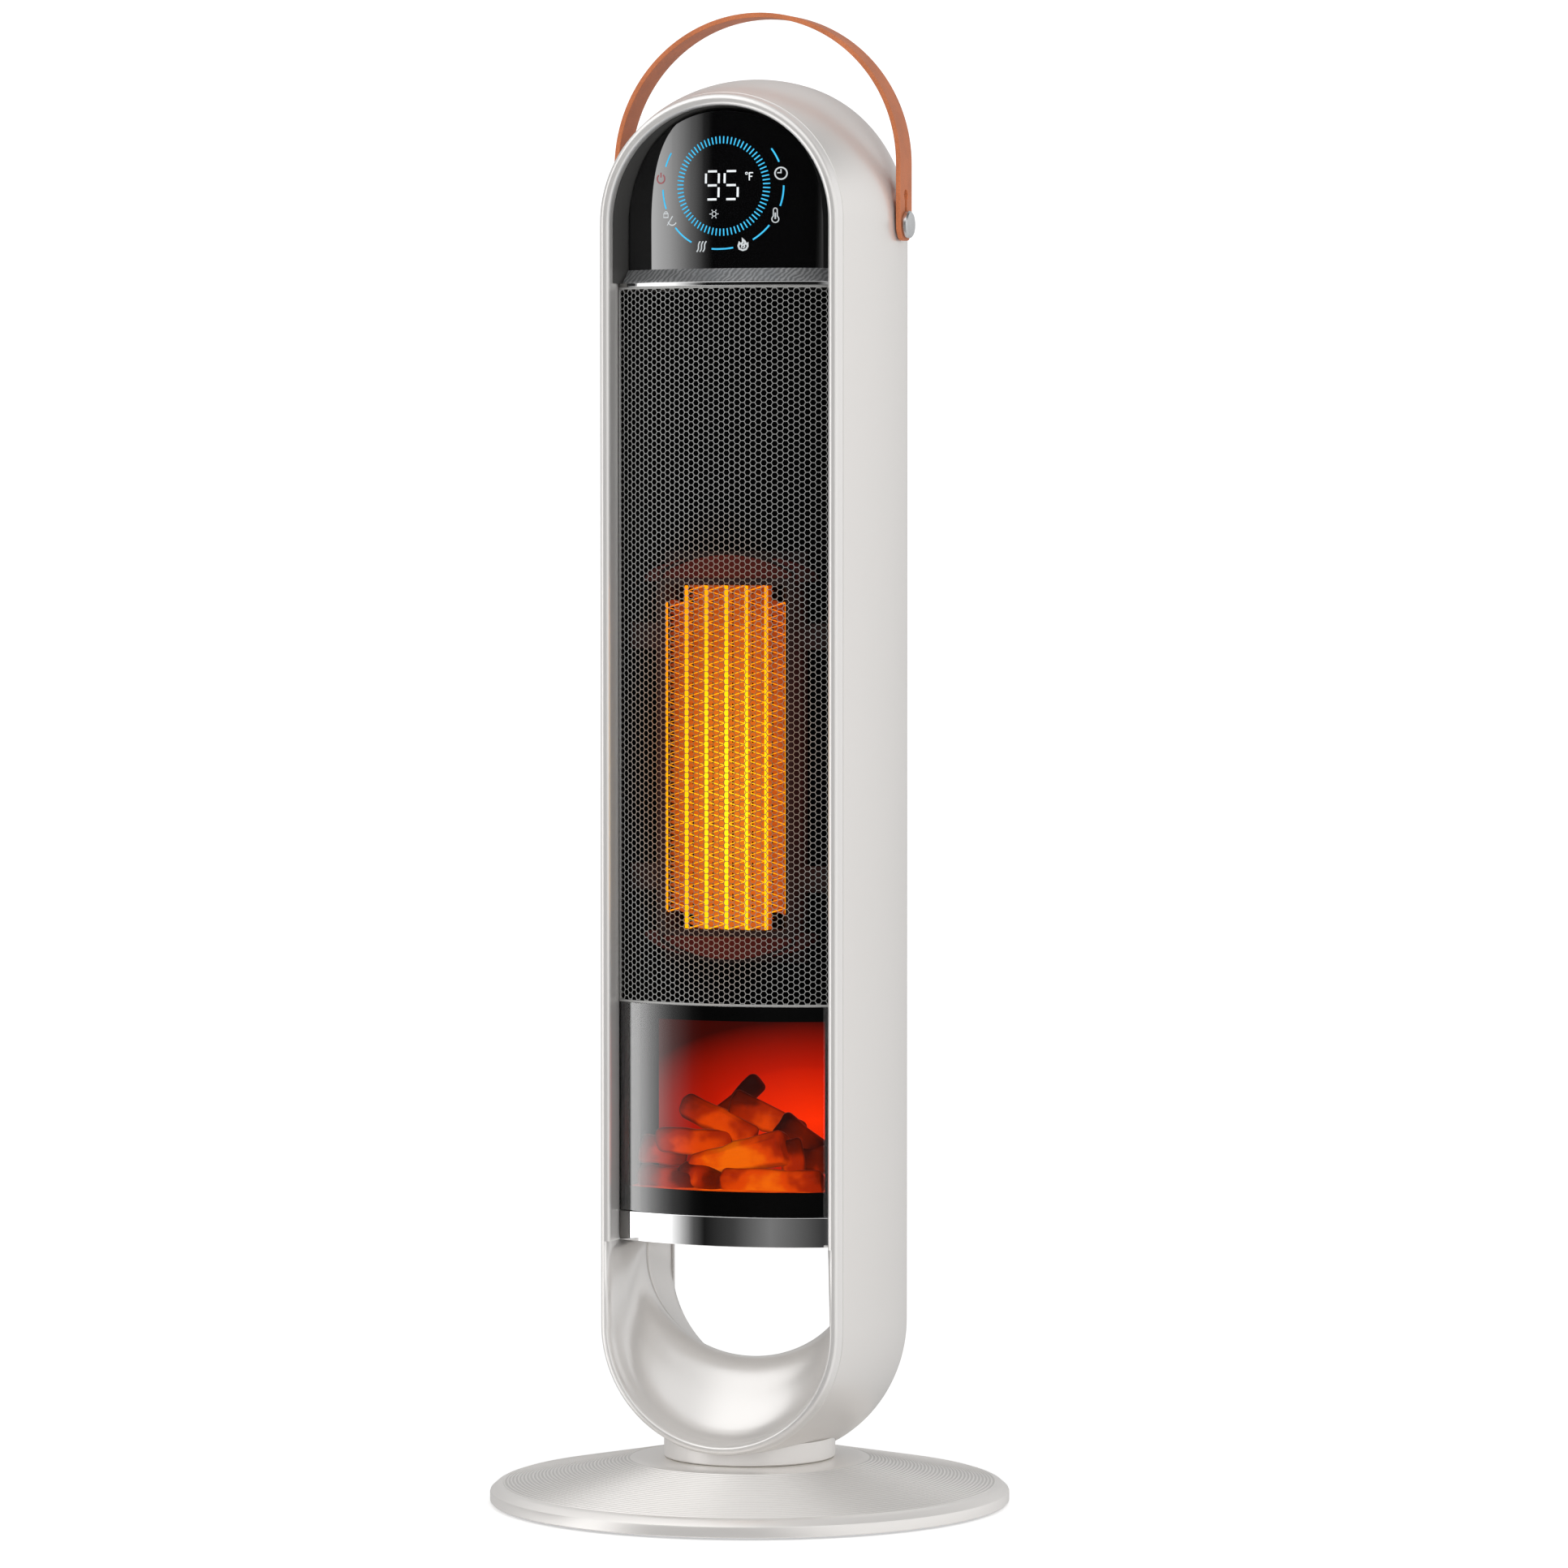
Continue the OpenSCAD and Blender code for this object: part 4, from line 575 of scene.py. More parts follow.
def build_plastics(c):
    for key, name, tint, rough, grain, bump, others in (
            ("gray_plastic", "Grey wall", c.inner_grey, 0.35, 1800.0, 0.00002, {"Coat_Weight": 0.2}),
            ("dark_plastic", "Dark inner plastic", (0.0018, 0.0018, 0.002), 0.8, 1200.0, 0.00003,
             {"Specular_IOR_Level": 0.0}),
            ("black_plastic", "Black plastic", (0.012, 0.012, 0.013), 0.38, 1600.0, 0.00003,
             {"Coat_Weight": 0.2}),
            ("cord_rubber", "Gland rubber", (0.10, 0.10, 0.105), 0.6, 900.0, 0.00005, {}),
            ("foot_rubber", "Foot rubber", (0.02, 0.02, 0.02), 0.75, 700.0, 0.00008, {}),
            ("acetal", "Acetal", (0.72, 0.69, 0.62), 0.32, 1600.0, 0.00001, {}),
            ("ceramic_body", "Ceramic body", (0.03, 0.027, 0.024), 0.6, 900.0, 0.00004, {}),
            ("relay_blue", "Relay case", (0.03, 0.12, 0.42), 0.35, 1500.0, 0.00002, {}),
            ("capacitor_sleeve", "Capacitor sleeve", (0.02, 0.03, 0.09), 0.3, 1500.0, 0.00001,
             {"Coat_Weight": 0.3}),
            ("led_board", "Lamp board", (0.75, 0.76, 0.74), 0.35, 900.0, 0.00002, {})):
        M[key] = plastic(name, tint, rough, grain, bump, **others)


def build_metals(c):
    drawn, even = (400.0, 400.0, 12.0), (30.0, 30.0, 30.0)
    M["bright_trim"] = metal("Mirror trim", (0.93, 0.93, 0.93), lines=even, bump=0.0, Roughness=0.025)
    for key, name, tint, rough, lines, bump in (
            ("steel", "Bright steel", c.steel, 0.22, drawn, 0.00002),
            ("weight_steel", "Weight steel", (0.16, 0.16, 0.17), 0.5, (90.0, 90.0, 90.0), 0.0001),
            ("fan_sheet", "Fan sheet", (0.035, 0.035, 0.038), 0.42, drawn, 0.00002),
            ("bearing_bronze", "Bearing bronze", (0.55, 0.36, 0.16), 0.35, drawn, 0.00002),
            ("stud_steel", "Stud steel", (0.70, 0.71, 0.72), 0.18, (60.0, 60.0, 60.0), 0.0),
            ("spring_gold", "Spring gold", (0.85, 0.62, 0.28), 0.25, drawn, 0.00002)):
        M[key] = metal(name, tint, rough, lines, bump)


def build_glows():
    """Finishes that give light, each with its centre, reach, hot, warm and cool colours."""
    dark, sheet = (0.01, 0.005, 0.003), (0.004, 0.002, 0.002)
    for key, name, centre, reach, hot, warm, cool, strength, flicker, base in (
            # The mica frame's, the duct lips' and the duct mouth's glow is painted light from the heater;
            # these parts give no light of their own.
            ("heater_frame", "Mica frame", (0, -0.03, 0.4025), (0.066, 0.09, 0.13), (0.030, 0.006, 0.004),
             (0.022, 0.005, 0.004), (0.003, 0.001, 0.001), 1.0, 0.4, (0.006, 0.004, 0.003)),
            ("duct_sheet", "Duct lips", (0, -0.03, 0.4025), (0.060, 0.09, 0.12), (0.030, 0.003, 0.002),
             (0.012, 0.002, 0.001), (0.002, 0.0005, 0.0005), 1.0, 0.05, sheet),
            ("duct_glow", "Duct mouth", (-0.004, -0.03, 0.4025), (0.054, 0.2, 0.30), (0.085, 0.009, 0.005),
             (0.048, 0.005, 0.003), (0.004, 0.001, 0.001), 1.0, 0.05, sheet),
            ("heating_bar", "Heating bars", (0.002, -0.04, 0.380), (0.044, 0.10, 0.140), (1.0, 0.74, 0.01),
             (1.0, 0.54, 0.0), (0.95, 0.24, 0.0), 1.5, 0.12, dark),
            ("fin_sheet", "Heating fins", (0.0, -0.04, 0.380), (0.042, 0.10, 0.138), (1.0, 0.66, 0.01),
             (1.0, 0.45, 0.0), (0.90, 0.19, 0.003), 1.55, 0.15, dark),
            ("fin_backs", "Heating fins behind", (0.0, -0.03, 0.380), (0.042, 0.10, 0.150),
             (0.85, 0.20, 0.012), (0.66, 0.11, 0.008), (0.24, 0.022, 0.003), 1.0, 0.3, dark),
            ("glow_panel", "Flame panel", (0.034, 0.009, 0.206), (0.110, 1.0, 0.054), (1.0, 0.027, 0.0),
             (0.50, 0.008, 0.0), (0.04, 0.001, 0.0), 1.3, 0.03, (0.01, 0.001, 0.001))):
        M[key] = glowing(name, centre, reach, hot, warm, cool, strength, flicker, base)
    M["ember_glow"] = glowing("Glowing embers", (0.004, -0.03, 0.170), (0.07, 0.05, 0.02), (1.0, 0.12, 0.001),
                              (0.50, 0.03, 0.001), (0.08, 0.004, 0.0), 1.15, 1.3, (0.04, 0.01, 0.005), 0.0006)
    M["log_glow"] = log_glow()


def build_materials(c, b):
    """Fills M with every finish, by its slot in the record where it has one."""
    build_groups()
    build_pearls(c, b)
    build_plastics(c)
    build_metals(c)
    build_glows()
    M["grille_wire"] = grille_coat(c.wire)
    M["ledge_film"] = ledge_film()
    M["tan_leather"] = hide("Strap grain side", c.leather)
    M["leather_edge"] = hide("Strap cut edge", c.leather_edge, pores=700.0, bump=0.00003)
    M["circuit_board"] = brick_pattern(
        "Circuit board", 0.37, 0.00003, 0.3, Color1=(0.01, 0.09, 0.035, 1), Color2=(0.012, 0.11, 0.04, 1),
        Mortar=(0.02, 0.20, 0.075, 1), Scale=180.0, Mortar_Size=0.05)
    M["filter_mesh"] = brick_pattern(
        "Filter mesh", 0.0, 0.0002, 0.7, Color1=(0.01, 0.01, 0.01, 1), Color2=(0.012, 0.012, 0.012, 1),
        Mortar=(0.2, 0.2, 0.2, 1), Scale=500.0, Mortar_Size=0.12, Brick_Width=0.5, Row_Height=0.5)
    M["display_glass"] = glass("Display glass", (0.0015, 0.0015, 0.0018), 0.2, 300.0, IOR=2.2)
    M["window_glass"] = glass("Window glass", (0.97, 0.98, 0.98), 0.01, 200.0,
                              IOR=2.0, Transmission_Weight=1.0)
    for key, name, tint, strength in (
            ("digit_block", "Figures' light box", (0.5, 0.52, 0.54), 0.05), ("ticks", "Ticks", c.tick, 1.0),
            ("digits", "Figures", c.digits, 0.95), ("keys", "Key marks", (0.62, 0.66, 0.68), 0.8),
            ("power", "Power mark", c.power, 0.9)):
        M[key] = mark_light(name, tint, strength)


# Stage. Each table gives light by the angle round the heater, 0 in front and 90 on its right.

LIGHT_ABOVE = (
    (-180, 0.55), (-110, 0.30), (-84, 0.25), (-80, 0.02), (-65, 0.02), (-63, 2.9), (-51, 2.0), (-39, 0.76),
    (-30, 0.12), (-26, 0.01), (29, 0.01), (36, 0.5), (55, 0.85), (80, 0.85), (130, 0.85), (180, 0.55))
LIGHT_BELOW = (
    (-180, 0.5), (-110, 0.35), (-76, 1.0), (-74.5, 6.0), (-73.2, 0.02), (-70, 0.02), (-69, 9.9), (-62, 8.5),
    (-56, 5.0), (-50, 2.5), (-44, 1.0), (-38, 0.45), (-33, 0.1), (-27, 0.01), (-12, 0.05), (6, 0.19),
    (32, 0.04), (60, 0.8), (120, 0.7), (180, 0.5))
LIGHT_BELOW_FOR_GLASS = (
    (-180, 0.2), (-110, 0.1), (-76, 0.3), (-74.5, 1.9), (-73.2, 0.01), (-70, 0.01), (-69, 3.2), (-62, 2.75),
    (-56, 1.65), (-50, 0.85), (-44, 0.36), (-38, 0.15), (-33, 0.03), (-27, 0.002), (-12, 0.004), (6, 0.012),
    (32, 0.006), (60, 0.15), (120, 0.2), (180, 0.2))
CEILING = (
    (-180, 0.30), (-150, 0.35), (-110, 0.45), (-80, 0.85), (-60, 1.0), (-25, 0.9), (0, 0.5), (60, 0.5),
    (90, 0.08), (135, 0.08), (165, 0.25))
SOFT_LIGHT = ((-180, 0.62), (-90, 0.50), (-30, 0.74), (60, 0.98), (120, 0.85), (180, 0.62))


class HeaterOperator:
    """What every piece's operator has in common."""

    bl_options = {"REGISTER", "UNDO"}


class HEATER_OT_stage(HeaterOperator, bpy.types.Operator):
    """Place the camera, the pale floor and the studio light"""

    bl_idname = "heater.stage"
    bl_label = "Stage"

    def execute(self, context):
        scene = context.scene
        self.place_camera(scene)
        self.make_floor(scene)
        self.make_sky(scene)
        self.hang_lamp(scene, "Key soft box", (1.3, -1.2, 1.7), (0, 0, 0.40), 1.2, 3.0)
        self.hang_lamp(scene, "Left soft box", (-1.5, -0.9, 1.1), (0, 0, 0.30), 1.0, 0.6)
        self.hang_lamp(scene, "Top soft box", (0.1, -0.1, 2.1), (0, 0, 0.2), 1.4, 2.0)
        scene.view_settings.view_transform = "Standard"
        scene.view_settings.look = "None"
        return {"FINISHED"}

    def look_at(self, thing, aim):
        thing.rotation_euler = (Vector(aim) - thing.location).to_track_quat("-Z", "Y").to_euler()

    def place_camera(self, scene):
        """Looks from 20 degrees to the heater's right, a little from above."""
        turn_by, distance, camera_z, aim_z, shift = math.radians(20), 3.621, 0.541, 0.387, 0.0185
        across = Vector((math.cos(turn_by), math.sin(turn_by), 0)) * shift
        away = Vector((math.sin(turn_by), -math.cos(turn_by), 0)) * distance
        camera = bpy.data.objects.new("Camera", bpy.data.cameras.new("Camera"))
        camera.location = away + across + Vector((0, 0, camera_z))
        self.look_at(camera, across + Vector((0, 0, aim_z)))
        camera.data.lens = 154.9
        camera.data.sensor_width = 36.0
        camera.data.clip_start = 0.05
        camera.data.clip_end = 50.0
        scene.collection.objects.link(camera)
        scene.camera = camera

    def make_floor(self, scene):
        bm = bmesh.new()
        bmesh.ops.create_circle(bm, cap_ends=True, radius=9.0, segments=96)
        mesh = bpy.data.meshes.new("Floor")
        bm.to_mesh(mesh)
        bm.free()
        floor = bpy.data.objects.new("Floor", mesh)
        floor.location.z = -0.0002
        scene.collection.objects.link(floor)
        material, n, shader = begin("Floor")
        paper = n.ramp(n.noise(n.place(), 3.0, 2.0), [(0.0, 0.93), (1.0, 0.97)])
        n.send(shader, Base_Color=paper, Roughness=0.9, Emission_Color=(1, 1, 1, 1), Emission_Strength=0.32)
        mesh.materials.append(material)
        floor.visible_glossy = False
        floor.visible_transmission = False

    def make_sky(self, scene):
        """A studio whose light changes round the heater, and is plain white to the camera."""
        sky = bpy.data.worlds.new("Studio")
        sky.use_nodes = True
        n = Nodes(sky.node_tree)
        n.tree.nodes.clear()
        way = n.put("ShaderNodeSeparateXYZ", i0=n.place("Generated")).outputs
        angle = n.maths("ARCTAN2", way[0], n.maths("MULTIPLY", way[1], -1.0))
        share = n.remap(angle, -math.pi, math.pi)
        strongest = 10.0

        def around(table, unit=1.0):
            return n.ramp(share, [((a + 180) / 360, v / unit) for a, v in table])

        light = n.put("ShaderNodeLightPath").outputs
        below = n.mix(light["Is Singular Ray"], around(LIGHT_BELOW, strongest),
                      around(LIGHT_BELOW_FOR_GLASS, strongest))
        sides = n.mix(n.remap(way[2], -0.03, 0.01), below, around(LIGHT_ABOVE, strongest))
        vault = n.scale(around(CEILING), 1.9)
        dome = n.mix(n.remap(way[2], 0.35, 0.6), n.scale(sides, strongest), vault)
        calm = n.vector("MINIMUM", dome, (1.6, 1.6, 1.6))
        lit = n.mix(light["Is Singular Ray"], calm, dome)
        lit = n.mix(light["Is Diffuse Ray"], lit, around(SOFT_LIGHT))
        lit = n.mix(light["Is Transmission Ray"], lit, (0.02, 0.02, 0.02, 1))
        shown = n.mix(light["Is Camera Ray"], lit, (1.2, 1.2, 1.2, 1))
        back = n.put("ShaderNodeBackground", Color=shown, Strength=1.0)
        n.put("ShaderNodeOutputWorld", Surface=back.outputs[0])
        scene.world = sky

    def hang_lamp(self, scene, name, place, aim, size, power):
        lamp = bpy.data.lights.new(name, "AREA")
        lamp.shape = "DISK"
        lamp.size = size
        lamp.energy = power
        thing = bpy.data.objects.new(name, lamp)
        thing.location = place
        self.look_at(thing, aim)
        thing.visible_glossy = False
        thing.visible_camera = False
        scene.collection.objects.link(thing)


# Base and neck


class HEATER_OT_base(HeaterOperator, bpy.types.Operator):
    """Build the round base with its fine ridges, and the neck"""

    bl_idname = "heater.base"
    bl_label = "Base and neck"

    def execute(self, context):
        b, = sizes("base")
        finish_mesh(lathe(self.cover(b), 224), "base_skin", "base_pearl", "pearl_shell", ("base_cover",),
                    "base", smooth=24)
        r, s, lip, spindle_z = b.neck_r, b.spindle_r, 0.0026, 0.0087
        bore = s - 0.004
        under = b.neck_top - 0.003
        profile = [(r - 0.0007, b.neck_z), (r, b.neck_z + 0.0007), (r, b.neck_top), (bore, b.neck_top),
                   (bore, spindle_z), (s, spindle_z), (s, under), (r - lip, under), (r - lip, b.neck_z)]
        finish_mesh(lathe(profile, 128), "neck_skin", "neck_pearl", "pearl_shell", ("swivel_neck",))
        return {"FINISHED"}

    def cover(self, b):
        """The cover's closed profile: outside with its ridges, then inside."""
        cone_r = b.radius - b.chamfer
        slope = (b.top_z - b.ring_z) / (cone_r - b.flat_r)

        def cone(r):
            return b.top_z - (r - b.flat_r) * slope

        outer = [(b.radius - 0.0006, b.low_z), (b.radius, b.low_z + 0.0006), (b.radius, b.edge_z - 0.0008),
                 (b.radius - 0.0003, b.edge_z + 0.0001), (cone_r + 0.0006, b.ring_z - 0.0005),
                 (cone_r - 0.0006, cone(cone_r - 0.0006))]
        rise, crest, fall = 0.00030, 0.00085, 0.00115
        r = cone_r - b.plain
        while r > b.flat_r + b.plain + b.ridge:
            top = cone(r) + b.lift
            outer += [(r, cone(r)), (r - rise, top), (r - crest, top + 0.00008), (r - fall, cone(r - fall))]
            r -= b.ridge
        bore, soft = b.spindle_r + 0.0002, 0.0008
        outer += [(b.flat_r + soft, cone(b.flat_r + soft)), (b.flat_r - soft, b.top_z), (bore, b.top_z)]
        inner = [(bore, b.top_z - b.wall), (b.flat_r, b.top_z - b.wall), (cone_r - b.wall, b.ring_z - b.wall),
                 (b.radius - b.wall, b.edge_z - b.wall), (b.radius - b.wall, b.low_z)]
        return outer + inner


# Housing


def sweep_hoop(bm, h, profile):
    """Sweeps a plan (x, y) round the lower arch, up the left side, over the top and down the right."""
    geom = strand(bm, [(x, y, h.low_z) for x, y in profile], True)
    geom = turn(bm, geom, (0, 0, h.low_z), math.pi, ARCH_STEPS)
    geom = pull(bm, geom, (0, 0, h.high_z - h.low_z))
    geom = turn(bm, geom, (0, 0, h.high_z), math.pi, ARCH_STEPS)
    pull(bm, geom, (0, 0, h.low_z - h.high_z))
    bmesh.ops.remove_doubles(bm, verts=bm.verts, dist=1e-6)


def sweep_arch(h, low_z, profile):
    """A bm with a plan (x, y) swept up the right side, over the top and down the left."""
    bm = bmesh.new()
    geom = strand(bm, [(x, y, low_z) for x, y in profile], True)
    geom = pull(bm, geom, (0, 0, h.high_z - low_z))
    geom = turn(bm, geom, (0, 0, h.high_z), -math.pi, ARCH_STEPS)
    pull(bm, geom, (0, 0, low_z - h.high_z))
    close_ends(bm)
    return bm


def hole_section(h, p, y):
    """Height of the widest line, half width and drop of the loop hole at a depth."""
    start, crest, sweep = -h.rim_depth + 0.001, -p.crest_depth, math.radians(68)
    if y < crest:
        t = max(0.0, (y - start) / (crest - start))
        e = (1 - math.cos(sweep * t)) / (1 - math.cos(sweep))
        low, high = (h.low_z, h.rim_half_w, h.rim_half_w), (p.crest_z, p.half_w, p.crest_drop)
    else:
        e = min(1.0, (y - crest) / (h.back_y - crest))
        low, high = (p.crest_z, p.half_w, p.crest_drop), (p.back_z, p.half_w, p.half_w)
    return tuple(a + (b - a) * e for a, b in zip(low, high))


def soft_section(h, p, y):
    """The hole's section with the crest rounded off."""
    reach = p.soften * max(0.0, min(1.0, (y + h.rim_depth) / 0.012))
    parts = [hole_section(h, p, y + reach * k / 6) for k in range(-6, 7)]
    return tuple(sum(v) / len(parts) for v in zip(*parts))


def skin_of_loop(bm, top_z, stations):
    """Lofts an open U through stations, each a depth and a section."""
    y, (cz, hw, drop) = stations[0]
    geom = strand(bm, [(hw, y, top_z), (hw, y, cz)])
    end = only_verts(turn(bm, [geom[1]], (0, y, cz), math.pi, 72))
    for v in bmesh.ops.extrude_vert_indiv(bm, verts=end)["verts"]:
        v.co.z = top_z
    for v in bm.verts:
        if v.co.z < cz:
            v.co.z = cz - (cz - v.co.z) * drop / hw
    geom = list(bm.edges)
    for new_y, (ncz, nhw, ndrop) in stations[1:]:
        def place(co, cz=cz, hw=hw, drop=drop):
            z = co.z if co.z > cz + 1e-5 else ncz - (cz - co.z) * ndrop / drop
            return Vector((co.x * nhw / hw, new_y, z))
        geom = pull(bm, geom, place=place)
        cz, hw, drop = ncz, nhw, ndrop


def face_up(bm):
    """Turns an open skin so that its lowest faces look up."""
    bmesh.ops.remove_doubles(bm, verts=bm.verts, dist=1e-6)
    bmesh.ops.recalc_face_normals(bm, faces=bm.faces)
    lowest = min(bm.faces, key=lambda f: f.calc_center_median().z)
    if lowest.normal.z < 0:
        bmesh.ops.reverse_faces(bm, faces=bm.faces)


def cut_neck(piece, radius, top_z):
    """Cuts the round hole for the neck out of a finished piece."""
    past = 0.02
    bm = bmesh.new()
    bmesh.ops.create_cone(bm, cap_ends=True, segments=128, radius1=radius, radius2=radius,
                          depth=top_z + past, matrix=Matrix.Translation((0, 0, (top_z - past) / 2)))
    mesh = bpy.data.meshes.new("cutter")
    bm.to_mesh(mesh)
    bm.free()
    cutter = bpy.data.objects.new("cutter", mesh)
    bpy.context.scene.collection.objects.link(cutter)
    mod = piece.modifiers.new("Neck", "BOOLEAN")
    mod.operation = "DIFFERENCE"
    mod.solver = "EXACT"
    mod.object = cutter
    bpy.context.view_layer.update()
    cut = bpy.data.meshes.new_from_object(piece.evaluated_get(bpy.context.evaluated_depsgraph_get()))
    piece.modifiers.clear()
    old = piece.data
    piece.data = cut
    bpy.data.meshes.remove(old)
    bpy.data.objects.remove(cutter)
    cut.set_sharp_from_angle(angle=math.radians(32))


class HEATER_OT_shell(HeaterOperator, bpy.types.Operator):
    """Build the crowned outer shell and the back half of the loop"""

    bl_idname = "heater.shell"
    bl_label = "Outer shell"

    def plan(self, h, inset, start):
        """The crowned side seen from above, from a depth to the back."""
        cx, r = h.crown_half_w - h.crown_r, h.crown_r - inset
        fillet_y = h.back_y - h.fillet
        centre_r = h.crown_r - h.fillet
        swing = math.degrees(math.asin((fillet_y - h.crown_y) / centre_r))
        first = math.degrees(math.asin((start - h.crown_y) / r))
        fx = cx + centre_r * math.cos(math.radians(swing))
        side = arc(cx, h.crown_y, r, first, swing, 22)
        return side + arc(fx, fillet_y, h.fillet - inset, swing, 90, 12)[1:]

    def execute(self, context):
        h, p, f, b = sizes("housing", "loop", "front", "base")
        seam, soft = -h.seam_depth + 0.00012, 0.0004
        outer = self.plan(h, 0, seam + 0.0003)
        inner = self.plan(h, h.wall, seam)
        flange = [(h.flange_x + soft, h.back_y), (h.flange_x, h.back_y - soft),
                  (h.flange_x, h.back_y - h.wall)]
        bm = bmesh.new()
        sweep_hoop(bm, h, [(outer[0][0] - soft, seam)] + outer + flange + inner[::-1])
        shell = finish_mesh(bm, "shell_skin", "pearl_shell", "pearl_shell", ("rear_shell",))
        cut_neck(shell, b.neck_r + 0.0002, b.neck_top)

        join, edge_r, plate = 0.003, 0.0022, 0.0647
        back = h.back_y + 0.00005
        depths = [join + (back - edge_r - join) * i / 8 for i in range(9)]
        stations = [(y, soft_section(h, p, y)) for y in depths]
        cz, hw, drop = hole_section(h, p, back)
        for i in range(1, 6):
            a = math.radians(18 * i)
            grow = edge_r * (1 - math.cos(a))
            stations.append((back - edge_r + edge_r * math.sin(a), (cz, hw + grow, drop + grow)))
        stations.append((back, (h.low_z, plate, plate)))
        bm = bmesh.new()
        skin_of_loop(bm, f.low_z, stations)
        face_up(bm)
        scoop = finish_mesh(bm, "loop_back_skin", "pearl_shell", "pearl_shell", ("rear_shell",),
                            merge=0, outward=False)
        wall(scoop, p.wall)
        return {"FINISHED"}


class HEATER_OT_front_frame(HeaterOperator, bpy.types.Operator):
    """Build the rounded front rim, its inner wall and the bowl under the column"""

    bl_idname = "heater.front_frame"
    bl_label = "Front frame"

    def execute(self, context):
        h, p, f = sizes("housing", "loop", "front")
        x, y, r = h.rim_half_w, -h.rim_depth, h.rim_r
        across = math.sqrt(h.crown_r ** 2 - (h.seam_depth + h.crown_y) ** 2)
        seam_x, seam_y = h.crown_half_w - h.crown_r + across, -h.seam_depth - 0.0001
        seam = [(seam_x - 0.003, seam_y), (seam_x - 0.0006, seam_y), (seam_x - 0.0001, seam_y - 0.0004)]
        upper = seam + arc(x + r, y, r, 0, -180, 18) + [(x, y + 0.0006), (x + 0.0012, y + 0.0008)]
        lower = seam + arc(x + r, y, r, 0, -90, 9) + [(x + r, y - r + 0.0012)]
        behind = y + h.wall_depth
        inner = [(x, y + 0.0006), (x, behind), (x + 0.002, behind), (x + 0.002, y + 0.0008)]

        bm = bmesh.new()
        geom = strand(bm, [(a, b, h.low_z) for a, b in lower], True)
        last = turn(bm, geom, (0, 0, h.low_z), math.pi, ARCH_STEPS)
        for end in (last, geom):
            pull(bm, end, (0, 0, f.low_z - h.low_z))
        close_ends(bm)
        for skin, name in ((sweep_arch(h, f.low_z, upper), "rim_skin"), (bm, "low_rim_skin"),
                           (sweep_arch(h, f.low_z, inner), "rim_wall_skin")):
            piece = finish_mesh(skin, name, "pearl_front", "pearl_shell", ("front_frame",))
            piece.visible_glossy = False
        self.make_bowl(h, p, f)
        return {"FINISHED"}

    def make_bowl(self, h, p, f):
        """The bowl starts as the rim's round and runs back to where the rear shell takes over."""
        x, y, r = h.rim_half_w, -h.rim_depth, h.rim_r
        stations = []
        for i in range(10):
            a = math.radians(10 * i)
            wide = x + r * (1 - math.sin(a))
            stations.append((y - r * math.cos(a), (h.low_z, wide, wide)))
        join, start = 0.003, y + 0.001
        stations += [(d, soft_section(h, p, d)) for d in (start + (join - start) * i / 40 for i in range(41))]
        bm = bmesh.new()
        skin_of_loop(bm, f.low_z, stations)
        fade = 0.045
        for v in bm.verts:
            low = max(0.0, min(1.0, (f.low_z - v.co.z) / fade))
            depth = v.co.y - y + r
            past = max(0.0, min(1.0, (depth - r) / p.blend_reach))
            share = depth / r if depth < r else 1 - past * past * (3 - 2 * past)
            v.co.y += p.blend * low * low * (3 - 2 * low) * share
        face_up(bm)
        bowl = finish_mesh(bm, "bowl_skin", "pearl_front", "pearl_shell", ("front_frame",),
                           merge=0, outward=False, smooth=60)
        wall(bowl, p.wall)


# The column's front


class HEATER_OT_front(HeaterOperator, bpy.types.Operator):
    """Build the bright band, the flame window and the bright line"""

    bl_idname = "heater.front"
    bl_label = "Band, window and trim"

    def execute(self, context):
        f, = sizes("front")
        proud, gap = 0.0004, 0.0001
        for name, node, slot, out, thick, low, high, bevel in (
                ("band_skin", "chrome_band", "bright_trim", 0, 0.0014, f.low_z, f.window_z - gap, 0.00035),
                ("window_skin", "flame_window", "window_glass", 0, f.window, f.window_z, f.grille_z, 0.0002),
                ("trim_skin", "trim_strip", "bright_trim", proud, 0.004, f.trim_z, f.ledge_z, 0.0003)):
            piece = finish_mesh(self.sheet(f, f.front_r + out, thick, low, high), name, slot, slot, (node,))
            soft_edges(piece, bevel)
        return {"FINISHED"}

    def sheet(self, f, r_out, thick, low_z, high_z):
        """A closed curved sheet that follows the column's front."""
        reach = math.asin(f.half_w / r_out)
        corners = [(r_out, low_z), (r_out, high_z), (r_out - thick, high_z), (r_out - thick, low_z)]
        start = [(-r * math.sin(reach), f.axis_y - r * math.cos(reach), z) for r, z in corners]
        bm = bmesh.new()
        turn(bm, strand(bm, start, True), (0, f.axis_y, 0), 2 * reach, 96, (0, 0, 1))
        close_ends(bm)
        return bm


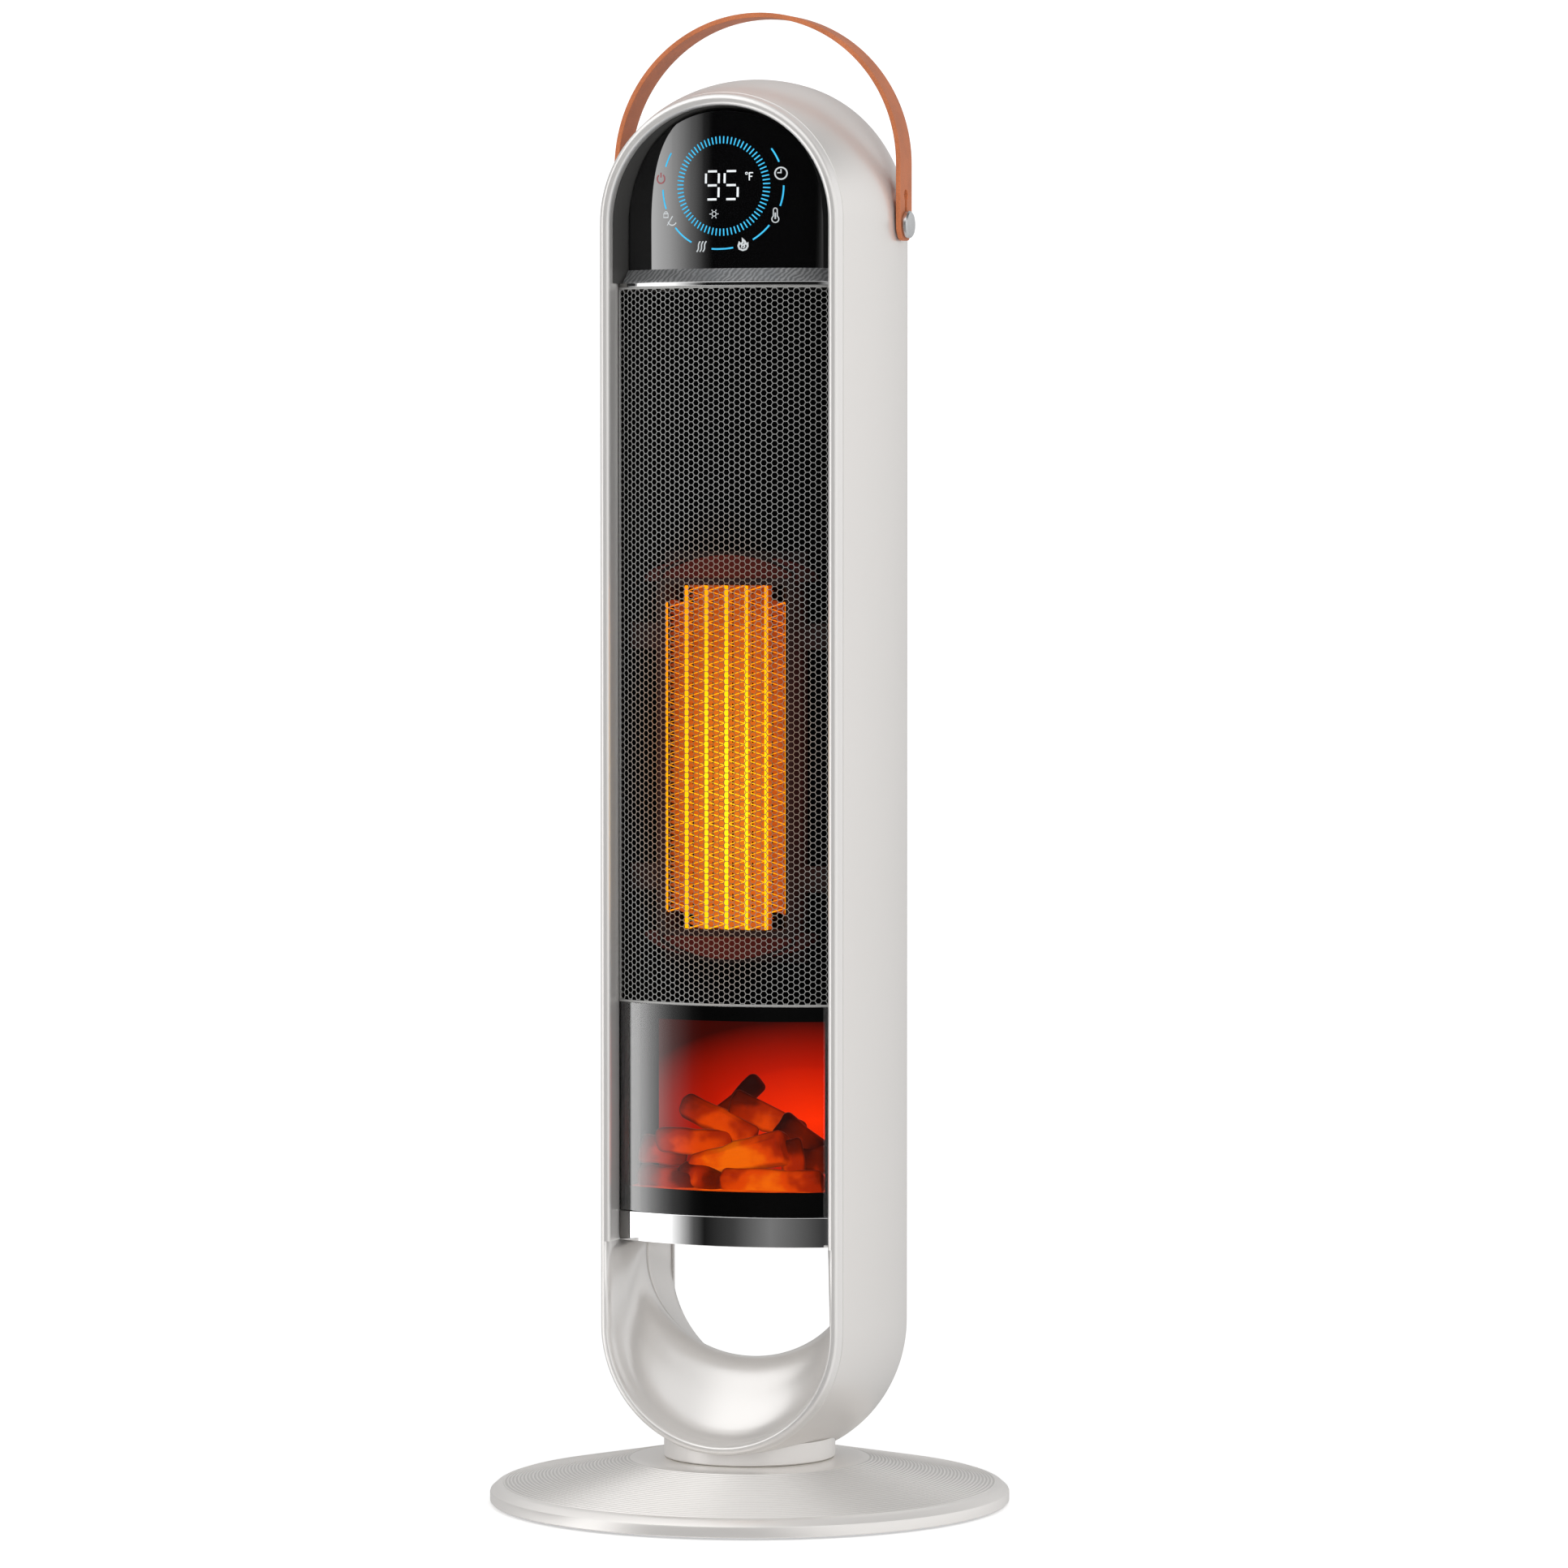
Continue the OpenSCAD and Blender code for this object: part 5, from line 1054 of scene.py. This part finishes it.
class HEATER_OT_grille(HeaterOperator, bpy.types.Operator):
    """Build the fine hexagon grille and bend it to the front"""

    bl_idname = "heater.grille"
    bl_label = "Hexagon grille"

    def execute(self, context):
        f, = sizes("front")
        half = f.front_r * math.asin(f.half_w / f.front_r)
        bm = self.cells(f, half)
        margin = 0.0007
        for at, way in (((half - margin, 0, 0), (1, 0, 0)), ((-half + margin, 0, 0), (-1, 0, 0)),
                        ((0, f.trim_z - margin, 0), (0, 1, 0)), ((0, f.grille_z + margin, 0), (0, -1, 0))):
            slice_at(bm, at, way, 1e-7, True)
        self.finish(bm, f, f.front_r, "grille_skin", f.sheet)

        bm = bmesh.new()
        strip = 0.0012
        low, high = f.grille_z + strip, f.trim_z - strip
        for x0, x1, z0, z1 in ((-half, half, f.grille_z, low), (-half, half, high, f.trim_z),
                               (-half, -half + strip, low, high), (half - strip, half, low, high)):
            count = 96 if x1 - x0 > strip * 2 else 1
            row = strand(bm, [(x0 + (x1 - x0) * i / count, z0, 0) for i in range(count + 1)])
            pull(bm, row, (0, z1 - z0, 0))
        self.finish(bm, f, f.front_r + 0.00005, "grille_border", 0.0009)
        return {"FINISHED"}

    def cells(self, f, half):
        """The flat sheet's hexagons, each with a frame of wire in place of its face."""
        column = f.cell * math.sqrt(3) / 2
        rows = int((f.trim_z - f.grille_z) / f.cell) + 2
        columns = int(half / column) + 1
        bm = bmesh.new()
        bmesh.ops.create_circle(bm, cap_ends=True, radius=f.cell / math.sqrt(3), segments=6,
                                matrix=Matrix.Rotation(math.pi / 6, 4, "Z"))
        corner = max(bm.verts, key=lambda v: v.co.x)
        if abs(corner.co.y) > 1e-6:
            bmesh.ops.rotate(bm, verts=bm.verts, matrix=Matrix.Rotation(math.pi / 6, 3, "Z"))
        self.repeat(bm, [(0, f.cell * i, 0) for i in range(1, rows)])
        self.repeat(bm, [(c * column, f.cell / 2 if c % 2 else 0, 0)
                         for c in range(-columns, columns + 1) if c])
        bmesh.ops.translate(bm, vec=(0, f.grille_z - f.cell * 0.5, 0), verts=bm.verts)
        bmesh.ops.remove_doubles(bm, verts=bm.verts, dist=f.cell * 0.05)
        holes = list(bm.faces)
        bmesh.ops.inset_individual(bm, faces=holes, thickness=f.wire / 2, use_even_offset=True)
        bmesh.ops.delete(bm, geom=holes, context="FACES_ONLY")
        return bm

    def repeat(self, bm, moves):
        """Repeats what bm holds at each of the moves."""
        first = bm.verts[:] + bm.edges[:] + bm.faces[:]
        for move in moves:
            copy = bmesh.ops.duplicate(bm, geom=first)["geom"]
            bmesh.ops.translate(bm, vec=move, verts=only_verts(copy))

    def finish(self, bm, f, r, name, thick):
        """Rolls the flat sheet (across, up) round the front's axis and gives it its thickness."""
        bmesh.ops.recalc_face_normals(bm, faces=bm.faces)
        for face in bm.faces:
            if face.normal.z < 0:
                face.normal_flip()
        for v in bm.verts:
            a = v.co.x / f.front_r
            v.co = Vector((r * math.sin(a), f.axis_y - r * math.cos(a), v.co.y))
        piece = finish_mesh(bm, name, "grille_wire", "grille_sheet", ("front_grille",),
                            merge=0, outward=False, smooth=50)
        wall(piece, thick)


# Heater and flame


class HEATER_OT_heater(HeaterOperator, bpy.types.Operator):
    """Build the folded fins between the bars and make them glow"""

    bl_idname = "heater.heater"
    bl_label = "Heating bars and fins"

    pitch = 0.0113
    bar_w = 0.0017
    outer_bar_w = 0.0010
    step_up = 0.009
    fold = 0.0028
    stacks = 6

    def execute(self, context):
        low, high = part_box("heating_bars")
        self.make_fins(low, high)
        self.make_bars(low, high)
        self.make_mouth(low, high)
        # The frame's and the duct's glow is painted light from the heater.
        rounded_copy("heater_frame", "heater_frame", "heater_frame", 0.0006)
        rounded_copy("heat_duct", "duct_sheet", "duct_sheet", 0.0004)
        return {"FINISHED"}

    def make_fins(self, low, high):
        """Folded sheets between the bars; the outer stacks are shorter."""
        half = (self.pitch - self.bar_w) / 2
        front, rear = bmesh.new(), bmesh.new()
        front_y, rear_y, plate_y = (low.y + 0.0002, low.y + 0.0016), (low.y + 0.0030, high.y), high.y - 0.0012
        for i in range(self.stacks):
            edge = self.step_up if i in (0, self.stacks - 1) else 0.0
            z0, z1 = low.z + edge, high.z - edge
            folds = round((z1 - z0) / self.fold)
            x = (i - 2.5) * self.pitch
            for sheet, (y0, y1), side in ((front, front_y, -half), (rear, rear_y, half)):
                path = [(x + (side if k % 2 == 0 else -side), y0, z0 + (z1 - z0) * k / folds)
                        for k in range(folds + 1)]
                pull(sheet, strand(sheet, path), (0, y1 - y0, 0))
            pull(rear, strand(rear, [(x - half, plate_y, z0), (x - half, plate_y, z1)]), (2 * half, 0, 0))
        for name, sheet, thick, finish in (("fin_fronts", front, 0.0008, "fin_sheet"),
                                           ("fin_backs", rear, 0.0024, "fin_backs")):
            folded = finish_mesh(sheet, name, finish, "fin_sheet", ("fin_stacks",), merge=0, smooth=20)
            wall(folded, thick, 0.0)

    def make_bars(self, low, high):
        bars = bmesh.new()
        y0, y1 = low.y - 0.0002, low.y + 0.0018
        for i in range(self.stacks + 1):
            outer = i in (0, self.stacks)
            wide = self.outer_bar_w if outer else self.bar_w
            edge = self.step_up if outer else 0.0
            z0, z1 = low.z + edge, high.z - edge
            middle = Matrix.Translation(((i - 3) * self.pitch, (y0 + y1) / 2, (z0 + z1) / 2))
            shape = middle @ Matrix.Diagonal((wide, y1 - y0, z1 - z0, 1))
            bmesh.ops.create_cube(bars, size=1.0, matrix=shape)
        piece = finish_mesh(bars, "glowing_bars", "heating_bar", "heating_bar", ("heating_bars",))
        soft_edges(piece, 0.0005, 3)

    def make_mouth(self, low, high):
        """The duct's half round mouths above and below the heater."""
        half_w, tall, gap, set_back, reach = 0.0475, 0.0140, 0.0022, 0.003, 0.0135
        y0, y1 = low.y + set_back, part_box("heat_duct")[0].y + reach
        bm = bmesh.new()
        for z, way in ((high.z + gap, 1), (low.z - gap, -1)):
            angles = [math.pi * k / 40 for k in range(41)]
            rim = strand(bm, [(half_w * math.cos(a), y0, z + way * tall * math.sin(a)) for a in angles], True)
            bmesh.ops.contextual_create(bm, geom=rim)
            pull(bm, rim, (0, y1 - y0, 0))
        close_ends(bm)
        # The mouth's glow is painted light from the heater.
        finish_mesh(bm, "duct_mouth", "duct_glow", "duct_sheet", ("heat_duct",))


# Each log's middle x, y, z, its yaw and tilt in degrees, length, radius at both ends, and warmth. In mm.
LOGS = (
    (-6, 0, 216, 0, -45, 34, 8, 6.5, 0.15), (13, -6, 208, 10, 22, 42, 9, 6.5, 0.50),
    (-12, -14, 206, -8, 22, 46, 8, 7.5, 0.62), (-23, -20, 196, 5, 0, 42, 8, 7.5, 0.60),
    (4, -26, 189, -6, -13, 58, 7, 11, 0.80), (33, -24, 188, 0, 80, 23, 7, 7, 0.45),
    (32, -8, 198, 12, 35, 28, 9, 7.5, 0.22), (24, -29, 176, 4, 0, 56, 8, 8, 0.72),
    (-16, -30, 177, -20, 8, 27, 8, 7, 0.42), (-43, -15, 190, 15, 5, 26, 9, 9, 0.42),
    (-35, -27, 176, -12, 2, 34, 7.5, 7.5, 0.38), (44, -10, 187, 0, 5, 22, 8, 8, 0.25))


class HEATER_OT_flame(HeaterOperator, bpy.types.Operator):
    """Build the glowing logs, the embers and the red panel behind them"""

    bl_idname = "heater.flame"
    bl_label = "Flame effect"

    def execute(self, context):
        warmths = []
        bm = bmesh.new()
        for index, log in enumerate(LOGS):
            self.add_log(bm, warmths, index, *log)
        pile = finish_mesh(bm, "glowing_logs", "log_glow", "log_glow", ("log_pile",), merge=0, smooth=60)
        pile.data.attributes.new("warmth", "FLOAT", "POINT").data.foreach_set("value", warmths)
        rounded_copy("ember_bed", "ember_glow", "ember_glow", 0.0006)
        rounded_copy("glow_panel", "glow_panel", "glow_panel", 0.0005)
        return {"FINISHED"}

    def add_log(self, bm, warmths, index, x, y, z, yaw, tilt, long, start_r, end_r, warmth):
        """Adds a six-sided log with worn edges, and notes how warm each of its points is."""
        part = bmesh.new()
        bmesh.ops.create_cone(part, cap_ends=True, segments=6, radius1=start_r / 1000, radius2=end_r / 1000,
                              depth=long / 1000)
        bmesh.ops.bevel(part, geom=part.edges[:], offset=0.0030, offset_type="OFFSET", segments=5,
                        profile=0.5, affect="EDGES", material=-1, clamp_overlap=True)
        bmesh.ops.triangulate(part, faces=[face for face in part.faces if len(face.verts) > 4])
        longest = 0.004
        bmesh.ops.subdivide_edges(part, edges=[e for e in part.edges if e.calc_length() > longest],
                                  cuts=5, use_grid_fill=True)
        along = []
        grain, apart, height = 90, Vector((index * 3.1, 0, 0)), 0.0016
        for v in part.verts:
            v.co += v.co.normalized() * noise.noise(v.co * grain + apart) * height
            along.append(abs(v.co.z) * 2000 / long)
        turns = ((yaw, "Z"), (tilt, "Y"), (90, "Y"))
        spot = Matrix.Translation((x / 1000, y / 1000, z / 1000))
        for angle, axis in turns:
            spot = spot @ Matrix.Rotation(math.radians(angle), 4, axis)
        bmesh.ops.transform(part, matrix=spot @ Matrix.Rotation(index * 0.7, 4, "Z"), verts=part.verts)
        middle, reach = Vector((0.004, -0.028, 0.187)), 0.045
        added, lost_at_ends, won_in_middle, lost_upward = 0.13, 0.38, 0.22, 12
        for v, t in zip(part.verts, along):
            near = max(0.0, 1 - (v.co - middle).length / reach)
            up = v.co.z - z / 1000
            warmths.append(warmth + added - lost_at_ends * t + won_in_middle * near - up * lost_upward)
        held = bpy.data.meshes.new("log")
        part.to_mesh(held)
        part.free()
        bm.from_mesh(held)
        bpy.data.meshes.remove(held)


# Display


def ribbon(bm, path, width, closed=False):
    """A flat stroke along a path seen from the front, given as (across, up) in metres."""
    points = [Vector(p) for p in path]
    count = len(points)
    sides = []
    for i, p in enumerate(points):
        before = points[i - 1] if i or closed else p
        after = points[(i + 1) % count] if i < count - 1 or closed else p
        along = (after - before).normalized()
        bend = 1.0
        if before is not p and after is not p:
            corner = (p - before).normalized().dot((after - p).normalized())
            bend = max(0.5, math.sqrt(max(0.0, (1 + corner) / 2)))
        sides.append(Vector((-along.y, along.x)) * width / 2 / bend)
    left = [(p.x + s.x, 0, p.y + s.y) for p, s in zip(points, sides)]
    right = [Vector((p.x - s.x, 0, p.y - s.y)) for p, s in zip(points, sides)]

    def key(co):
        return tuple(round(c, 7) for c in co)

    geom = strand(bm, left, closed)
    goal = {key(v.co): r for v, r in zip(geom[:count], right)}
    pull(bm, geom, place=lambda co: goal[key(co)])


def rays(near, far, count):
    """Spokes round a middle, in mm."""
    angles = [2 * math.pi * k / count for k in range(count)]
    return [[(r * math.cos(a), r * math.sin(a)) for r in (near, far)] for a in angles]


def heat_wave(k):
    """One of three wavy lines, in mm."""
    return [(k * 1.8 + 0.4 * math.sin(t * 1.05) + (t - 3) * 0.35, t * 0.93 - 2.8) for t in range(7)]


BULB = arc(0, -1.8, 1.8, 125, 415, 16) + [(1.0, 3.0)] + arc(0, 3.0, 1.0, 30, 150, 4) + [(-1.0, 3.0)]
FLAME = [(0, -2.8), (1.7, -2.3), (2.6, -0.8), (2.3, 0.9), (1.5, 0.2), (1.0, 2.0), (-0.1, 3.1), (0.0, 1.4),
         (-1.1, 0.3), (-1.7, 1.2), (-2.5, -0.5), (-1.9, -2.1)]
FLAME_INSIDE = [(-0.8, -1.6), (-0.4, -0.3), (0.5, 0.3), (0.9, -0.9), (0.2, -1.8)]
LOCK = [(-1.4, -1.5), (1.4, -1.5), (1.4, 0.5), (-1.4, 0.5)]

# Each mark's middle from the dial's, in mm, and its lines: a path, its share of the stroke, and if closed.
POWER_MARK = (
    ((-36.7, 5.0), [(arc(0, -0.4, 2.4, 125, 415, 20), 1, False), ([(0, 0.3), (0, 2.9)], 1, False)]),
)
KEY_MARKS = (
    ((31.8, 6.4), [(arc(0, 0, 3.1, 0, 345, 24), 1, True), ([(-1.9, 0.3), (0, 0.3), (0, 2.2)], 0.8, False)]),
    ((28.9, -15.9), [(BULB, 0.75, True), ([(0, -1.8), (0, 1.6)], 1, False)]),
    ((-11.7, -31.8), [(heat_wave(k), 0.9, False) for k in (-1, 0, 1)]),
    ((11.7, -31.2), [(FLAME, 1.25, True), (FLAME_INSIDE, 1, False)]),
    ((-33.5, -14.5), [(LOCK, 0.7, True), (arc(0, 0.6, 1.0, 0, 180, 8), 0.7, False)]),
    ((-30.3, -18.0), [(arc(0.8, 0.6, 2.8, 200, 330, 12), 0.8, False),
                      ([(-2.4, -2.2), (1.0, 2.6)], 0.8, False)]),
    ((-4.4, -14.7), [(arc(0, 0, 1.2, 0, 324, 12), 0.6, True)]
     + [(ray, 0.6, False) for ray in rays(1.6, 2.6, 6)]),
)


class HEATER_OT_display(HeaterOperator, bpy.types.Operator):
    """Build the black display glass and its lit marks"""

    bl_idname = "heater.display"
    bl_label = "Display"

    def execute(self, context):
        d, h = sizes("display", "housing")
        self.make_glass(d, h)
        self.draw_dial(d)
        self.draw_figures(d)
        self.draw_marks(d, POWER_MARK, "power_mark", "power")
        self.draw_marks(d, KEY_MARKS, "key_marks", "keys")
        return {"FINISHED"}

    def make_glass(self, d, h):
        bm = bmesh.new()
        outline = [(d.half_w, d.low_z)] + arc(0, h.high_z, d.half_w, 0, 180, 72) + [(-d.half_w, d.low_z)]
        rim = strand(bm, [(x, 0, z) for x, z in outline], True)
        bmesh.ops.contextual_create(bm, geom=rim)
        for i in range(-15, 16):
            slice_at(bm, (i * 0.0037, 0, 0), (1, 0, 0), 1e-6)
        self.on_glass(bm, d, 0.0)
        bmesh.ops.recalc_face_normals(bm, faces=bm.faces)
        if sum(face.normal.y for face in bm.faces) > 0:
            bmesh.ops.reverse_faces(bm, faces=bm.faces)
        piece = finish_mesh(bm, "display_skin", "display_glass", "display_glass", ("display_glass",),
                            merge=0, outward=False, smooth=20)
        wall(piece, d.thick)
        soft_edges(piece, 0.0005, 3, 60)

    def on_glass(self, bm, d, proud):
        r = d.radius + proud
        for v in bm.verts:
            v.co.y = d.axis_y - math.sqrt(r * r - v.co.x ** 2)

    def finish_marks(self, bm, d, name, finish):
        bmesh.ops.recalc_face_normals(bm, faces=bm.faces)
        for face in bm.faces:
            if face.normal.y > 0:
                face.normal_flip()
        self.on_glass(bm, d, 0.00006)
        wall(finish_mesh(bm, name, finish, "digit_block", merge=0, outward=False), 0.00005)

    def draw_dial(self, d):
        """The ring of ticks, and the arcs between the key marks."""
        bm = bmesh.new()
        for i in range(72):
            a = math.radians(i * 5 + 2.5)
            ends = [(r * math.cos(a), d.dial_z + r * math.sin(a)) for r in (d.ring_r - d.tick, d.ring_r)]
            ribbon(bm, ends, d.tick_w)
        inset, swell, wide = 0.0008, 0.0022, 0.00085
        for start, end in ((149, 162), (182, 199), (218, 239), (260, 281), (301, 321), (341, 360), (22, 36)):
            path = []
            for k in range(11):
                a = math.radians(start + (end - start) * k / 10)
                r = d.keys_r - inset + swell * max(0.0, -math.cos(a))
                path.append((r * math.cos(a), d.dial_z + r * math.sin(a)))
            ribbon(bm, path, wide)
        self.finish_marks(bm, d, "dial_marks", "ticks")

    def draw_figures(self, d):
        """The figures 9 and 5 in seven strokes, with a degree sign and an F."""
        bm = bmesh.new()
        wide, tall, thick, slant, gap = 0.0074, 0.0148, 0.00115, 0.0003, 0.0011
        low_z = d.dial_z - 0.0070
        ends = {"a": ((0, 1), (1, 1)), "b": ((1, 1), (1, 0.5)), "c": ((1, 0.5), (1, 0)),
                "d": ((1, 0), (0, 0)), "f": ((0, 0.5), (0, 1)), "g": ((0, 0.5), (1, 0.5))}
        for strokes, x0 in (("abcdfg", -0.0093), ("acdfg", 0.0014)):
            for stroke in strokes:
                a, b = (Vector((x0 + x * wide + slant * z, low_z + z * tall)) for x, z in ends[stroke])
                inward = (b - a).normalized() * gap
                ribbon(bm, [a + inward, b - inward], thick)
        left, base, fine = 0.0146, d.dial_z + 0.0028, 0.0006
        ribbon(bm, arc(left - 0.0009, base + 0.0037, 0.0006, 0, 324, 9), 0.00035, True)
        for start, end in (((0.0006, 0), (0.0006, 0.0041)), ((0.0005, 0.0040), (0.0026, 0.0040)),
                           ((0.0005, 0.0021), (0.0022, 0.0021))):
            ribbon(bm, [(left + x, base + z) for x, z in (start, end)], fine)
        self.finish_marks(bm, d, "dial_figures", "digits")

    def draw_marks(self, d, marks, name, finish):
        bm = bmesh.new()
        for (x, z), lines in marks:
            for path, share, closed in lines:
                points = [((x + px) / 1000, d.dial_z + (z + pz) / 1000) for px, pz in path]
                ribbon(bm, points, d.stroke * share, closed)
        self.finish_marks(bm, d, name, finish)


# Strap, back and inner parts


class HEATER_OT_strap(HeaterOperator, bpy.types.Operator):
    """Build the leather strap and the round studs that hold it"""

    bl_idname = "heater.strap"
    bl_label = "Strap and studs"

    def execute(self, context):
        strap = rounded_copy("handle_strap", ["tan_leather", "leather_edge"], "tan_leather", 0.0005, 3, 40,
                             "handle")
        small = 0.00002
        for face in strap.data.polygons:
            sideways = abs(face.normal.y)
            face.material_index = 1 if sideways > 0.7 or face.area < small and sideways > 0.1 else 0
        rounded_copy("handle_studs", "stud_steel", "stud_steel", 0.0003, 3, 25)
        return {"FINISHED"}


class HEATER_OT_back(HeaterOperator, bpy.types.Operator):
    """Finish the back cover, the inlet and the switch"""

    bl_idname = "heater.back"
    bl_label = "Back and switch"

    def execute(self, context):
        rounded_copy("back_cover", "back_pearl", "pearl_shell", 0.0004)
        rounded_copy("cover_screws", "steel", "steel", 0.0002)
        rounded_copy("cord_gland", "cord_rubber", "gray_plastic", 0.0004, 3)
        rounded_copy("switch_frame", "black_plastic", "black_plastic", 0.0004, 3)
        rounded_copy("switch_rocker", "black_plastic", "black_plastic", 0.0004, 3, body="rocker")
        return {"FINISHED"}


FINISHES = {
    "weight_steel": "base_weight", "digit_block": "digit_block", "spring_gold": "touch_springs",
    "steel": "base_plate base_screws gear_screws spindle_retainer retainer_screws neck_screws swing_motor "
             "stud_nuts fan_motor fan_shaft",
    "foot_rubber": "rubber_feet", "acetal": "glide_ring fixed_gear drive_pinion",
    "black_plastic": "tilt_switch thermal_cutout", "dark_plastic": "chassis flame_chamber",
    "gray_plastic": "display_bezel", "filter_mesh": "dust_filter", "ledge_film": "ledge",
    "circuit_board": "display_board power_board", "ceramic_body": "thermal_fuse",
    "fan_sheet": "fan_housing fan_wheel", "bearing_bronze": "fan_bearing", "led_board": "led_board",
    "pearl_shell": "column_floor", "relay_blue": "relays", "capacitor_sleeve": "capacitors",
}


class HEATER_OT_inner(HeaterOperator, bpy.types.Operator):
    """Give every CAD node that stays its finish"""

    bl_idname = "heater.inner"
    bl_label = "Inner parts"

    def execute(self, context):
        for finish, nodes in FINISHES.items():
            for node in nodes.split():
                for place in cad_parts[node].material_slots:
                    place.material = M[finish]
        return {"FINISHED"}


GROUPS = {
    "housing": HousingSizes, "loop": LoopSizes, "front": FrontSizes, "display": DisplaySizes,
    "base": BaseSizes, "colours": HeaterColours,
}
OPERATORS = [
    HEATER_OT_stage, HEATER_OT_base, HEATER_OT_shell, HEATER_OT_front_frame, HEATER_OT_front,
    HEATER_OT_grille, HEATER_OT_heater, HEATER_OT_flame, HEATER_OT_display, HEATER_OT_strap,
    HEATER_OT_back, HEATER_OT_inner,
]


class HEATER_PT_sidebar(bpy.types.Panel):
    """Lists the sizes and the pieces"""

    bl_idname = "HEATER_PT_sidebar"
    bl_label = "Tower heater"
    bl_space_type = "VIEW_3D"
    bl_region_type = "UI"
    bl_category = "Heater"

    def draw(self, context):
        for name in GROUPS:
            box = self.layout.box()
            box.label(text=name.capitalize())
            group = getattr(context.scene, "heater_" + name)
            for key in group.bl_rna.properties.keys():
                if key not in {"rna_type", "name"}:
                    box.prop(group, key)
        for operator in OPERATORS:
            self.layout.operator(operator.bl_idname)


def register():
    for kind in (*GROUPS.values(), *OPERATORS, HEATER_PT_sidebar):
        bpy.utils.register_class(kind)
    for name, group in GROUPS.items():
        setattr(bpy.types.Scene, "heater_" + name, bpy.props.PointerProperty(type=group))


def unregister():
    for name in GROUPS:
        delattr(bpy.types.Scene, "heater_" + name)
    for kind in (HEATER_PT_sidebar, *OPERATORS[::-1], *GROUPS.values()):
        bpy.utils.unregister_class(kind)


def main():
    register()
    build_materials(*sizes("colours", "base"))
    for operator in OPERATORS:
        part, name = operator.bl_idname.split(".")
        getattr(getattr(bpy.ops, part), name)()
    bpy.context.view_layer.update()


if __name__ == "__main__":
    main()
